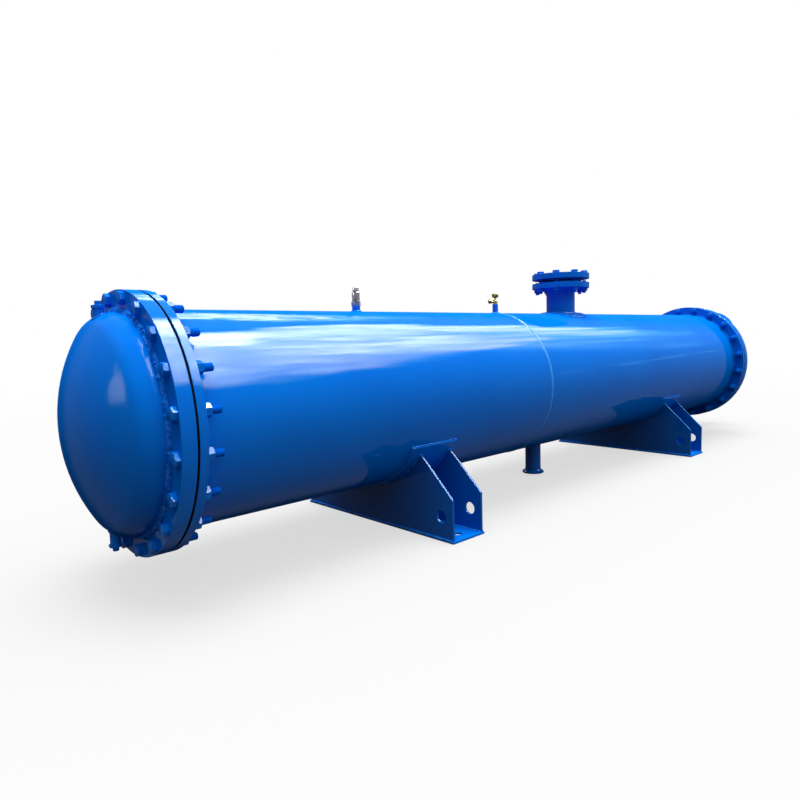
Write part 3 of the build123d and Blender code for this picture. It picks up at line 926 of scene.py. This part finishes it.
def floor_material(stage):
    """Pale floor that keeps a soft shadow, fades into the background and throws little light back up."""
    made = bpy.data.materials.new("pale_floor")
    made.use_nodes = True
    tree = made.node_tree
    tree.nodes.clear()
    pale = pale_rays(wires(add_node(tree, "ShaderNodeLightPath")))
    colour = pale.mix(rgba((0.03, 0.03, 0.03)), rgba((0.45, 0.45, 0.45)))
    diffuse = pale.node("ShaderNodeBsdfDiffuse", 0, {"Color": colour})
    far = pale.node("ShaderNodeEmission", 0, {"Color": rgba([stage.pale] * 3)})
    place = object_place(tree)
    distance = place.node("ShaderNodeVectorMath", "Value", {0: place}, operation="LENGTH")
    fade = distance.ramp(*FLOOR_FADE, stage.shadow_lift, 1.0) * pale
    both = pale.node("ShaderNodeMixShader", 0, {0: fade, 1: diffuse, 2: far})
    add_node(tree, "ShaderNodeOutputMaterial", {"Surface": both})
    return made


def build_floor(stage):
    bm = bmesh.new()
    bmesh.ops.create_circle(bm, cap_ends=True, segments=96, radius=FLOOR_RADIUS)
    mesh = bpy.data.meshes.new("floor")
    bm.to_mesh(mesh)
    bm.free()
    mesh.materials.append(floor_material(stage))
    floor = bpy.data.objects.new("floor", mesh)
    bpy.context.scene.collection.objects.link(floor)


def build_camera(stage):
    heading, tilt, roll = stage.camera_heading, stage.camera_tilt, stage.camera_roll
    forward = Vector((
        math.sin(heading) * math.cos(tilt), math.cos(heading) * math.cos(tilt), -math.sin(tilt)))
    level_right = Vector((math.cos(heading), -math.sin(heading), 0.0))
    level_up = level_right.cross(forward)
    right = level_right * math.cos(roll) + level_up * math.sin(roll)
    up = level_up * math.cos(roll) - level_right * math.sin(roll)
    turn = Matrix((right, up, -forward)).transposed().to_4x4()
    data = bpy.data.cameras.new("camera")
    data.sensor_width = 36.0
    data.lens = stage.lens
    data.shift_x = stage.shift_x
    data.shift_y = stage.shift_y
    data.clip_start = 0.01
    data.clip_end = 200.0
    camera = bpy.data.objects.new("camera", data)
    camera.matrix_world = Matrix.Translation(stage.camera_place) @ turn
    bpy.context.scene.collection.objects.link(camera)
    bpy.context.scene.camera = camera


class EXCHANGER_OT_stage(bpy.types.Operator):
    """Set up the floor, the soft light and the camera"""
    bl_idname = "exchanger.stage"
    bl_label = "Stage"

    def execute(self, context):
        stage = context.scene.exchanger_stage
        context.scene.view_settings.view_transform = "Standard"
        build_world(stage)
        build_lamp(stage)
        build_floor(stage)
        build_camera(stage)
        return {"FINISHED"}


class EXCHANGER_OT_finishes(bpy.types.Operator):
    """Make the finishes and lay them on the solids that show as they are"""
    bl_idname = "exchanger.finishes"
    bl_label = "Finishes"

    def execute(self, context):
        paint_relief_group()
        paint_tone_group()
        weld_relief_group()
        gloss = finish().coat_roughness
        enamel_material("shell_enamel", (0.0009, 3.2), 0.000003, gloss)
        enamel_material("dome_enamel", (0.0012, 7.0), 0.000006, gloss, weight=0.6)
        enamel_material("plate_enamel", (0.0002, 9.0), 0.000008, gloss * 1.6, 8.0)
        # Painted shade: this enamel's colour is darkened for the pieces that lie in the shell's shadow
        enamel_material("saddle_enamel", (0.0002, 9.0), 0.000008, gloss * 1.6, 8.0, 0.62)
        enamel_material("bolt_enamel", (0.0003, 60.0), 0.00002, gloss * 2.0, 30.0)
        # Painted highlight and shade: the welds are lighter on their crests and darker in their hollows
        weld_material("weld_enamel", finish().enamel_deep_and_shade, (0.020, 0.210, 0.740), 0.0006, 0.18)
        # Painted highlight: the girth seam's enamel is lighter than the rest to stand for the bright line of
        # light along it
        weld_material("seam_painted_highlight", (0.030, 0.260, 0.820), (0.060, 0.320, 0.880), 0.0002, 0.06)
        gasket_material()
        tube_material()
        safety_valve_material()
        gauge_valve_material()
        by_slot = {
            "valve_steel": "safety_valve_steel", "valve_brass": "gauge_valve_brass", "gasket": "gasket_sheet",
            "blue_paint": "plate_enamel"}
        own = {
            "shell_near_course": "shell_enamel", "shell_far_course": "shell_enamel",
            "return_head_dome": "dome_enamel", "channel_dome": "dome_enamel",
            # The outlet pipe takes the enamel with painted shade, as it lies in the shell's shadow
            "liquid_outlet_pipe": "saddle_enamel"}
        for node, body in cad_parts.items():
            slot = body.data.materials[0].name if body.data.materials else "blue_paint"
            chosen = own.get(node, by_slot[slot.split(".")[0]])
            body.data.materials.clear()
            body.data.materials.append(bpy.data.materials[chosen])
        return {"FINISHED"}


def ring_corners(bore, outside, thickness):
    """The four corners of a plain ring's section, from its radii."""
    return [(bore, 0.0), (outside, 0.0), (outside, thickness), (bore, thickness)]


def tube_places():
    """Each tube's (y, height over the axis): a triangular pattern above and below the pass partition."""
    places = []
    for side in (1, -1):
        for row in range(TUBE_ROWS):
            rise = TUBE_FIRST_ROW + row * TUBE_PITCH * math.sqrt(3.0) / 2
            stagger = TUBE_PITCH / 2 * (row % 2)
            for step in range(-TUBE_ROWS, TUBE_ROWS + 1):
                across = step * TUBE_PITCH + stagger
                tie_rod = row == TUBE_ROWS - 2 and step == 0
                if math.hypot(across, rise) < TUBE_FIELD and not tie_rod:
                    places.append((across, side * rise))
    return places


class EXCHANGER_OT_joints(bpy.types.Operator):
    """Turn the head flanges, the tube sheets and the gaskets between them"""
    bl_idname = "exchanger.joints"
    bl_label = "Head joints"

    def execute(self, context):
        cut = sizes().joint_cut
        rim = FLANGE_RADIUS
        bolt_holes = hole_ring(2 * (rim - BOLT_EDGE), BOLT_COUNT, HEAD_BOLT_HOLE)
        tube_hole = TUBE_OUTSIDE / 2 + SLIP
        tube_holes = [(-rise, across, tube_hole, TUBE_HOLE_SIDES) for across, rise in tube_places()]
        # Each plate's bore and holes, and whether its gasket lies on the side of the higher x
        for node, bore, holes, gasket_high in (
            ("return_head_flange", HEAD_BORE, bolt_holes, True),
            ("channel_flange", HEAD_BORE, bolt_holes, False),
            ("near_tube_sheet", 0.0, bolt_holes + tube_holes, False),
            ("far_tube_sheet", 0.0, bolt_holes + tube_holes, True),
        ):
            low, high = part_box(node)
            thick = high.x - low.x
            if gasket_high:
                edge = [(rim, 0.0), (rim, thick - cut), (rim - cut, thick)]
            else:
                edge = [(rim - cut, 0.0), (rim, cut), (rim, thick)]
            corners = [(bore, 0.0), *edge, (bore, thick)]
            outline = rounded_outline(corners, sizes().flange_edge, bore > 0.0)
            turned_plate(node + "_turned", node, outline, along_x(low.x), holes, (0.0, thick))
        for node in ("return_head_gasket", "channel_gasket"):
            low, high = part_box(node)
            thick = high.x - low.x
            # A black bead of squeezed-out paste fills the cut edges beside the gasket; it widens the dark
            # joint line as painted shade of the gap
            shade_bead = rim - 0.0004
            corners = [
                (HEAD_BORE, 0.0), (rim - cut, 0.0), (shade_bead, -cut * 0.75), (shade_bead, thick + cut * 0.75),
                (rim - cut, thick), (HEAD_BORE, thick)]
            turned_plate(
                node + "_cut", node, rounded_outline(corners, GASKET_EDGE), along_x(low.x), bolt_holes,
                (0.0, thick), "gasket_sheet")
        return {"FINISHED"}


class EXCHANGER_OT_tubes(bpy.types.Operator):
    """Run the tubes through the shell, from tube sheet to tube sheet"""
    bl_idname = "exchanger.tubes"
    bl_label = "Tube bundle"

    def execute(self, context):
        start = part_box("near_tube_sheet")[0].x - TUBE_PROUD
        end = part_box("far_tube_sheet")[1].x + TUBE_PROUD
        outside = TUBE_OUTSIDE / 2
        corners = ring_corners(outside - TUBE_WALL, outside, end - start)
        tube = solid_spin(corners + corners[:1], TUBE_STEPS)
        bm = bmesh.new()
        for across, rise in tube_places():
            add_mesh(bm, tube, Matrix.Translation((0.0, across, rise)) @ along_x(start))
        tube.free()
        finish_piece("tube_bundle", bm, "tube_steel")
        return {"FINISHED"}


class EXCHANGER_OT_dome(bpy.types.Operator):
    """Dish the return head"""
    bl_idname = "exchanger.dome"
    bl_label = "Return head"

    def execute(self, context):
        outline = head_arc(0.0) + [(HEAD_RADIUS, 0.0), (HEAD_BORE, 0.0)] + head_arc(HEAD_WALL)[::-1]
        bm = solid_spin(outline, TURNED_STEPS)
        bmesh.ops.transform(bm, matrix=along_x(RETURN_FACE, direction=-1), verts=bm.verts)
        finish_piece("return_head_dished", bm, "dome_enamel", ["return_head_dome"], sharp=SHARP_TURNED)
        return {"FINISHED"}


class EXCHANGER_OT_nozzles(bpy.types.Operator):
    """Turn the flanges of the gas and water nozzles and the flared collar of the outlet"""
    bl_idname = "exchanger.nozzles"
    bl_label = "Nozzle flanges"

    def execute(self, context):
        gas_x = middle("gas_nozzle_neck").x
        holes = hole_ring(GAS_BOLT_CIRCLE, NOZZLE_BOLT_COUNT, GAS_BOLT_HOLE)
        for node, bore, face_below in (
            ("gas_nozzle_flange", half_width("gas_nozzle_neck") + SLIP, False),
            ("gas_companion_flange", GAS_SOCKET_BORE / 2, True),
        ):
            low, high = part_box(node)
            place = Matrix.Translation((gas_x, 0.0, low.z))
            self.flange(node, bore, GAS_FACE, high.z - low.z, GAS_FACE_HEIGHT, holes, place, face_below)
        low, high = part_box("gas_nozzle_gasket")
        corners = ring_corners(GAS_GASKET_BORE / 2, GAS_FACE / 2, high.z - low.z)
        outline = rounded_outline(corners, GASKET_EDGE)
        turned_plate(
            "gas_nozzle_gasket_cut", "gas_nozzle_gasket", outline, Matrix.Translation((gas_x, 0.0, low.z)),
            material_name="gasket_sheet")
        holes = hole_ring(WATER_BOLT_CIRCLE, NOZZLE_BOLT_COUNT, WATER_BOLT_HOLE)
        for name in ("water_outlet", "water_inlet"):
            low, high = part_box(name + "_flange")
            bore = half_width(name + "_neck", 1) + SLIP
            place = along_x(low.x, (low.z + high.z) / 2)
            self.flange(name + "_flange", bore, WATER_FACE, high.x - low.x, WATER_FACE_HEIGHT, holes, place)
        self.outlet_collar()
        return {"FINISHED"}

    def flange(self, node, bore, face, thick, face_height, holes, place, face_below=False):
        """A raised-face flange, its face at the end of its height or at the start."""
        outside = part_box(node)[1].y
        radii = (face / 2, outside) if face_below else (outside, face / 2)
        step = face_height if face_below else thick - face_height
        corners = [
            (bore, 0.0), (radii[0], 0.0), (radii[0], step), (radii[1], step), (radii[1], thick),
            (bore, thick)]
        flats = (step, thick) if face_below else (0.0, step)
        outline = rounded_outline(corners, sizes().flange_edge)
        turned_plate(node + "_turned", node, outline, place, holes, flats)

    def outlet_collar(self):
        low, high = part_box("liquid_outlet_collar")
        flare_steps = 8
        rim = high.y
        top = high.z - low.z
        pipe = half_width("liquid_outlet_pipe")
        flare = rim - pipe - COLLAR_LIP
        socket = pipe + COLLAR_SLIP
        corners = [(pipe, top)]
        for step in range(flare_steps + 1):
            angle = math.pi + math.pi / 2 * step / flare_steps
            corners.append((rim + flare * math.cos(angle), top + flare * math.sin(angle)))
        corners += [(rim, 0.0), (socket, 0.0), (socket, SOCKET_DEPTH), (pipe, SOCKET_DEPTH)]
        bm = solid_spin(rounded_outline(corners, COLLAR_EDGE), COLLAR_STEPS)
        bmesh.ops.translate(bm, verts=bm.verts, vec=((low.x + high.x) / 2, 0.0, low.z))
        # The collar takes the enamel with painted shade, as it lies in the shell's shadow
        finish_piece(
            "liquid_outlet_collar_turned", bm, "saddle_enamel", ["liquid_outlet_collar"], sharp=SHARP_TURNED)


class EXCHANGER_OT_saddles(bpy.types.Operator):
    """Round the edges of the saddles' plates"""
    bl_idname = "exchanger.saddles"
    bl_label = "Saddles"

    def execute(self, context):
        for end in ("near", "far"):
            for plate in ("base_plate", "web_near", "web_far", "wear_pad"):
                node = f"{end}_saddle_{plate}"
                # The webs take the enamel with painted shade, for the shell's shadow over them
                material_name = "saddle_enamel" if plate.startswith("web") else "plate_enamel"
                rounded_plate(node + "_finished", node, sizes().plate_edge, material_name)
        return {"FINISHED"}


class EXCHANGER_OT_plugs(bpy.types.Operator):
    """Make the vent and drain plugs with their keys"""
    bl_idname = "exchanger.plugs"
    bl_label = "Vent and drain plugs"

    def execute(self, context):
        for name, upright in (("vent", True), ("drain", False)):
            low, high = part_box(name + "_plug")
            place = Matrix.Translation(((low.x + high.x) / 2, 0.0, low.z if upright else high.z))
            if not upright:
                place = place @ Matrix.Rotation(math.pi, 4, "X")
            body = hex_prism(PLUG_FLATS, 0.0, PLUG_HEIGHT)
            key = hex_prism(KEY_FLATS, PLUG_HEIGHT - 0.0005, KEY_TOP, False)
            bm = joined((body, place), (key, place))
            finish_piece(name + "_plug_cut", bm, "bolt_enamel", [name + "_plug"], sharp=SHARP_CUT)
        return {"FINISHED"}


class EXCHANGER_OT_safety_valve(bpy.types.Operator):
    """Make the safety valve with its flats, groove and cap"""
    bl_idname = "exchanger.safety_valve"
    bl_label = "Safety valve"

    def execute(self, context):
        place = Matrix.Translation((middle("safety_valve").x, 0.0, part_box("safety_valve")[0].z))
        base = hex_prism(SAFETY_FLATS, 0.0, SAFETY_BASE, False)
        body = solid_spin(rounded_outline(SAFETY_OUTLINE, 0.0005, False), SAFETY_STEPS)
        # Eight spanner flats round the body
        for vert in body.verts:
            reach = math.hypot(vert.co.x, vert.co.y)
            if reach > SPANNER_REACH and SPANNER_START < vert.co.z < SPANNER_END:
                angle = math.atan2(vert.co.y, vert.co.x) % (math.pi / 4) - math.pi / 8
                pull = min(1.0, SAFETY_SPANNER / math.cos(angle) / reach)
                vert.co.x *= pull
                vert.co.y *= pull
        bm = joined((base, place), (body, place))
        finish_piece(
            "safety_valve_turned", bm, "safety_valve_steel", ["safety_valve"], SHARP_CUT)
        return {"FINISHED"}


class EXCHANGER_OT_gauge_valve(bpy.types.Operator):
    """Make the brass gauge valve with its knob and side port"""
    bl_idname = "exchanger.gauge_valve"
    bl_label = "Gauge valve"

    def execute(self, context):
        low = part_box("gauge_valve")[0]
        seat = Vector((middle("gauge_valve_stub").x, 0.0, low.z))
        reach = seat.x - low.x
        upright = Matrix.Translation(seat)
        base = hex_prism(GAUGE_FLATS, 0.0, GAUGE_BASE, False)
        body = solid_spin(rounded_outline(GAUGE_OUTLINE, 0.0006, False), GAUGE_STEPS)
        # Hollows round the knob
        for vert in body.verts:
            if vert.co.z > KNOB_START and math.hypot(vert.co.x, vert.co.y) > KNOB_GRIP:
                lobe = 0.5 + 0.5 * math.cos(KNOB_HOLLOWS * math.atan2(vert.co.y, vert.co.x))
                vert.co.x *= 1.0 - KNOB_HOLLOW_SHARE * lobe
                vert.co.y *= 1.0 - KNOB_HOLLOW_SHARE * lobe
        port_end = [(0.0062, reach - 0.0035), (0.0052, reach - 0.0010), (0.0030, reach), (0.0, reach)]
        port = solid_spin(rounded_outline(PORT_OUTLINE + port_end, 0.0008, False), PORT_STEPS)
        nut = hex_prism(PORT_FLATS, PORT_NUT_START, reach - 0.0045)
        port_seat = seat + Vector((0.0, 0.0, GAUGE_PORT_HEIGHT))
        outwards = Matrix.Translation(port_seat) @ Matrix.Rotation(-math.pi / 2, 4, "Y")
        bm = joined((base, upright), (body, upright), (port, outwards), (nut, outwards))
        finish_piece(
            "gauge_valve_turned", bm, "gauge_valve_brass", ["gauge_valve"], SHARP_CUT)
        return {"FINISHED"}


class EXCHANGER_OT_bolts(bpy.types.Operator):
    """Make the rings of hexagon bolts and nuts with their threads"""
    bl_idname = "exchanger.bolts"
    bl_label = "Bolts and nuts"

    def execute(self, context):
        rng = random.Random(11)
        bolt_radius = FLANGE_RADIUS - BOLT_EDGE
        for name, face, sheet_face, turn in (
            ("return_head", RETURN_FACE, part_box("near_tube_sheet")[1].x, math.pi / 2),
            ("channel", CHANNEL_FACE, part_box("far_tube_sheet")[0].x, -math.pi / 2),
        ):
            bolt_ring(
                name + "_bolt_ring", HEAD_BOLT, abs(sheet_face - face), ring_x(face, bolt_radius, BOLT_COUNT),
                Matrix.Rotation(turn, 4, "Y"), name + "_bolts", rng)
        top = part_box("gas_companion_flange")[1].z
        places = ring_z(middle("gas_nozzle_flange").x, GAS_BOLT_CIRCLE / 2, top, NOZZLE_BOLT_COUNT)
        bolt_ring(
            "gas_nozzle_bolt_ring", GAS_BOLT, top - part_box("gas_nozzle_flange")[0].z, places,
            Matrix.Rotation(math.pi, 4, "X"), "gas_nozzle_bolts", rng)
        return {"FINISHED"}


def pipe_on_shell(x, radius, barrel, side=1):
    """Points round an upright pipe where it meets a barrel round the shell's axis, over it or under it."""
    points = ring_z(x, radius, 0.0)
    for point in points:
        point.z = AXIS_HEIGHT + side * math.sqrt(barrel**2 - point.y**2)
    return points


def arc_under(x, radius, reach):
    """Points along an arc under the shell's axis, to an angle on each side of the lowest point."""
    count = steps_for(2 * reach * radius)
    angles = [reach * (2 * index / count - 1) for index in range(count + 1)]
    return [Vector((x, radius * math.sin(angle), AXIS_HEIGHT - radius * math.cos(angle))) for angle in angles]


class EXCHANGER_OT_welds(bpy.types.Operator):
    """Lay the weld beads round the heads, the shell, the nozzles and the saddles"""
    bl_idname = "exchanger.welds"
    bl_label = "Welds"

    def execute(self, context):
        rng = random.Random(23)
        self.head_welds(rng)
        self.girth_weld(rng)
        self.shell_welds(rng)
        self.nozzle_welds(rng)
        self.saddle_welds(rng)
        return {"FINISHED"}

    def head_welds(self, rng):
        for name, face, side in (("return", RETURN_FACE, -1), ("channel", CHANNEL_FACE, 1)):
            beads = Beads(rng, sizes().head_weld)
            for out, off in HEAD_PASSES:
                points = ring_x(face + side * off, HEAD_RADIUS + out, ring_steps(HEAD_RADIUS))
                beads.lay(points, ripple=0.16, wander=0.22)
            beads.piece(name + "_head_weld", HEAD_WELD_LUMPS)

    def girth_weld(self, rng):
        """The ring that fills the seam between the courses, its cap raised and rippled."""
        low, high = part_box("shell_girth_weld")
        root = SHELL_RADIUS - SHELL_WALL
        cap = high.z - AXIS_HEIGHT - SHELL_RADIUS
        half = (high.x - low.x) / 2
        outline = [(root, -half), (SHELL_RADIUS, -half)]
        for share in (-0.75, -0.4, 0.0, 0.4, 0.75):
            outline.append((SHELL_RADIUS + cap * 0.92 * (1 - share**2), half * share))
        outline += [(SHELL_RADIUS, half), (root, half), (root, -half)]
        bm = solid_spin(outline, GIRTH_STEPS)
        for vert in bm.verts:
            reach = math.hypot(vert.co.x, vert.co.y)
            if reach > SHELL_RADIUS + 0.0002:
                angle = math.atan2(vert.co.y, vert.co.x)
                slant = GIRTH_RIPPLE_SLANT * vert.co.z / half
                ripple = 0.5 + 0.5 * math.sin(angle * GIRTH_RIPPLES + slant)
                lift = 1.0 + GIRTH_RIPPLE_DEPTH * (ripple - 1.0) * rng.uniform(0.5, 1.0) / reach
                vert.co.x *= lift
                vert.co.y *= lift
        bmesh.ops.transform(bm, matrix=along_x((low.x + high.x) / 2), verts=bm.verts)
        # The seam's lighter enamel is a painted highlight
        finish_piece("girth_weld_finished", bm, "seam_painted_highlight", ["shell_girth_weld"], sharp=SHARP_WELD)

    def shell_welds(self, rng):
        beads = Beads(rng, sizes().shell_weld)
        for x in (SHELL_START, SHELL_END):
            beads.lay(ring_x(x, SHELL_RADIUS))
        beads.piece("shell_welds")

    def nozzle_welds(self, rng):
        beads = Beads(rng, sizes().nozzle_weld)
        x = middle("gas_nozzle_neck").x
        radius = half_width("gas_nozzle_neck")
        beads.lay(pipe_on_shell(x, radius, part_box("gas_nozzle_pad")[1].z - AXIS_HEIGHT))
        beads.lay(pipe_on_shell(x, half_width("gas_nozzle_pad"), SHELL_RADIUS))
        beads.lay(ring_z(x, radius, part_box("gas_nozzle_flange")[0].z), FLANGE_WELD)
        for stub, side in (("safety_valve_stub", 1), ("gauge_valve_stub", 1), ("liquid_outlet_pipe", -1)):
            beads.lay(pipe_on_shell(middle(stub).x, half_width(stub), SHELL_RADIUS, side), STUB_WELD)
        for name in ("water_outlet", "water_inlet"):
            radius = half_width(name + "_neck", 1)
            height = middle(name + "_neck").z
            points = ring_x(0.0, radius, height=height)
            for point in points:
                point.x = CHANNEL_FACE + dome_reach(math.hypot(point.y, point.z - AXIS_HEIGHT))
            beads.lay(points)
            beads.lay(ring_x(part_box(name + "_flange")[0].x, radius, height=height), FLANGE_WELD)
        for boss, side in (("vent_boss", 1), ("drain_boss", -1)):
            points = ring_z(middle(boss).x, half_width(boss), 0.0)
            for point in points:
                girth = dome_girth(RETURN_FACE - point.x)
                point.z = AXIS_HEIGHT + side * math.sqrt(girth**2 - point.y**2)
            beads.lay(points, BOSS_WELD)
        beads.piece("nozzle_welds")

    def saddle_welds(self, rng):
        beads = Beads(rng, sizes().saddle_weld)
        for end in ("near", "far"):
            pad_low, pad_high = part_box(f"{end}_saddle_wear_pad")
            pad_radius = AXIS_HEIGHT - pad_low.z
            for web in ("web_near", "web_far"):
                low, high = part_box(f"{end}_saddle_{web}")
                contact = math.acos((AXIS_HEIGHT - high.z) / pad_radius)
                width = high.y - low.y
                count = steps_for(width)
                for x in (low.x, high.x):
                    beads.lay(arc_under(x, pad_radius, contact), closed=False)
                    steps = [low.y + width * (index + 0.5) / count for index in range(count)]
                    beads.lay([Vector((x, step, low.z)) for step in steps], closed=False)
            half_angle = math.asin(min(1.0, pad_high.y / pad_radius))
            arcs = [arc_under(x, SHELL_RADIUS, half_angle) for x in (pad_low.x, pad_high.x)]
            for arc in arcs:
                beads.lay(arc, closed=False)
            count = steps_for(pad_high.x - pad_low.x)
            for start, stop in zip(*arcs):
                if start in (arcs[0][0], arcs[0][-1]):
                    beads.lay([start.lerp(stop, index / count) for index in range(count + 1)], closed=False)
        beads.piece("saddle_welds")


class EXCHANGER_PT_panel(bpy.types.Panel):
    bl_label = "Exchanger"
    bl_idname = "EXCHANGER_PT_panel"
    bl_space_type = "VIEW_3D"
    bl_region_type = "UI"
    bl_category = "Exchanger"

    def draw(self, context):
        layout = self.layout
        scene = context.scene
        for title, group in (
            ("Finish", scene.exchanger_finish), ("Sizes", scene.exchanger_sizes),
            ("Stage", scene.exchanger_stage),
        ):
            box = layout.box()
            box.label(text=title)
            for name in group.bl_rna.properties.keys():
                if name not in {"rna_type", "name"}:
                    box.prop(group, name)
        for step in STEPS:
            layout.operator(step.bl_idname)


STEPS = (
    EXCHANGER_OT_stage, EXCHANGER_OT_finishes, EXCHANGER_OT_joints, EXCHANGER_OT_tubes, EXCHANGER_OT_dome,
    EXCHANGER_OT_nozzles, EXCHANGER_OT_saddles, EXCHANGER_OT_bolts, EXCHANGER_OT_plugs,
    EXCHANGER_OT_safety_valve, EXCHANGER_OT_gauge_valve, EXCHANGER_OT_welds,
)
CLASSES = (EXCHANGER_PG_finish, EXCHANGER_PG_sizes, EXCHANGER_PG_stage, *STEPS, EXCHANGER_PT_panel)


def register():
    for cls in CLASSES:
        bpy.utils.register_class(cls)
    bpy.types.Scene.exchanger_finish = bpy.props.PointerProperty(type=EXCHANGER_PG_finish)
    bpy.types.Scene.exchanger_sizes = bpy.props.PointerProperty(type=EXCHANGER_PG_sizes)
    bpy.types.Scene.exchanger_stage = bpy.props.PointerProperty(type=EXCHANGER_PG_stage)


def unregister():
    del bpy.types.Scene.exchanger_stage
    del bpy.types.Scene.exchanger_sizes
    del bpy.types.Scene.exchanger_finish
    for cls in reversed(CLASSES):
        bpy.utils.unregister_class(cls)


def main():
    register()
    bpy.ops.exchanger.stage()
    bpy.ops.exchanger.finishes()
    bpy.ops.exchanger.joints()
    bpy.ops.exchanger.tubes()
    bpy.ops.exchanger.dome()
    bpy.ops.exchanger.nozzles()
    bpy.ops.exchanger.saddles()
    bpy.ops.exchanger.bolts()
    bpy.ops.exchanger.plugs()
    bpy.ops.exchanger.safety_valve()
    bpy.ops.exchanger.gauge_valve()
    bpy.ops.exchanger.welds()


if __name__ == "__main__":
    main()
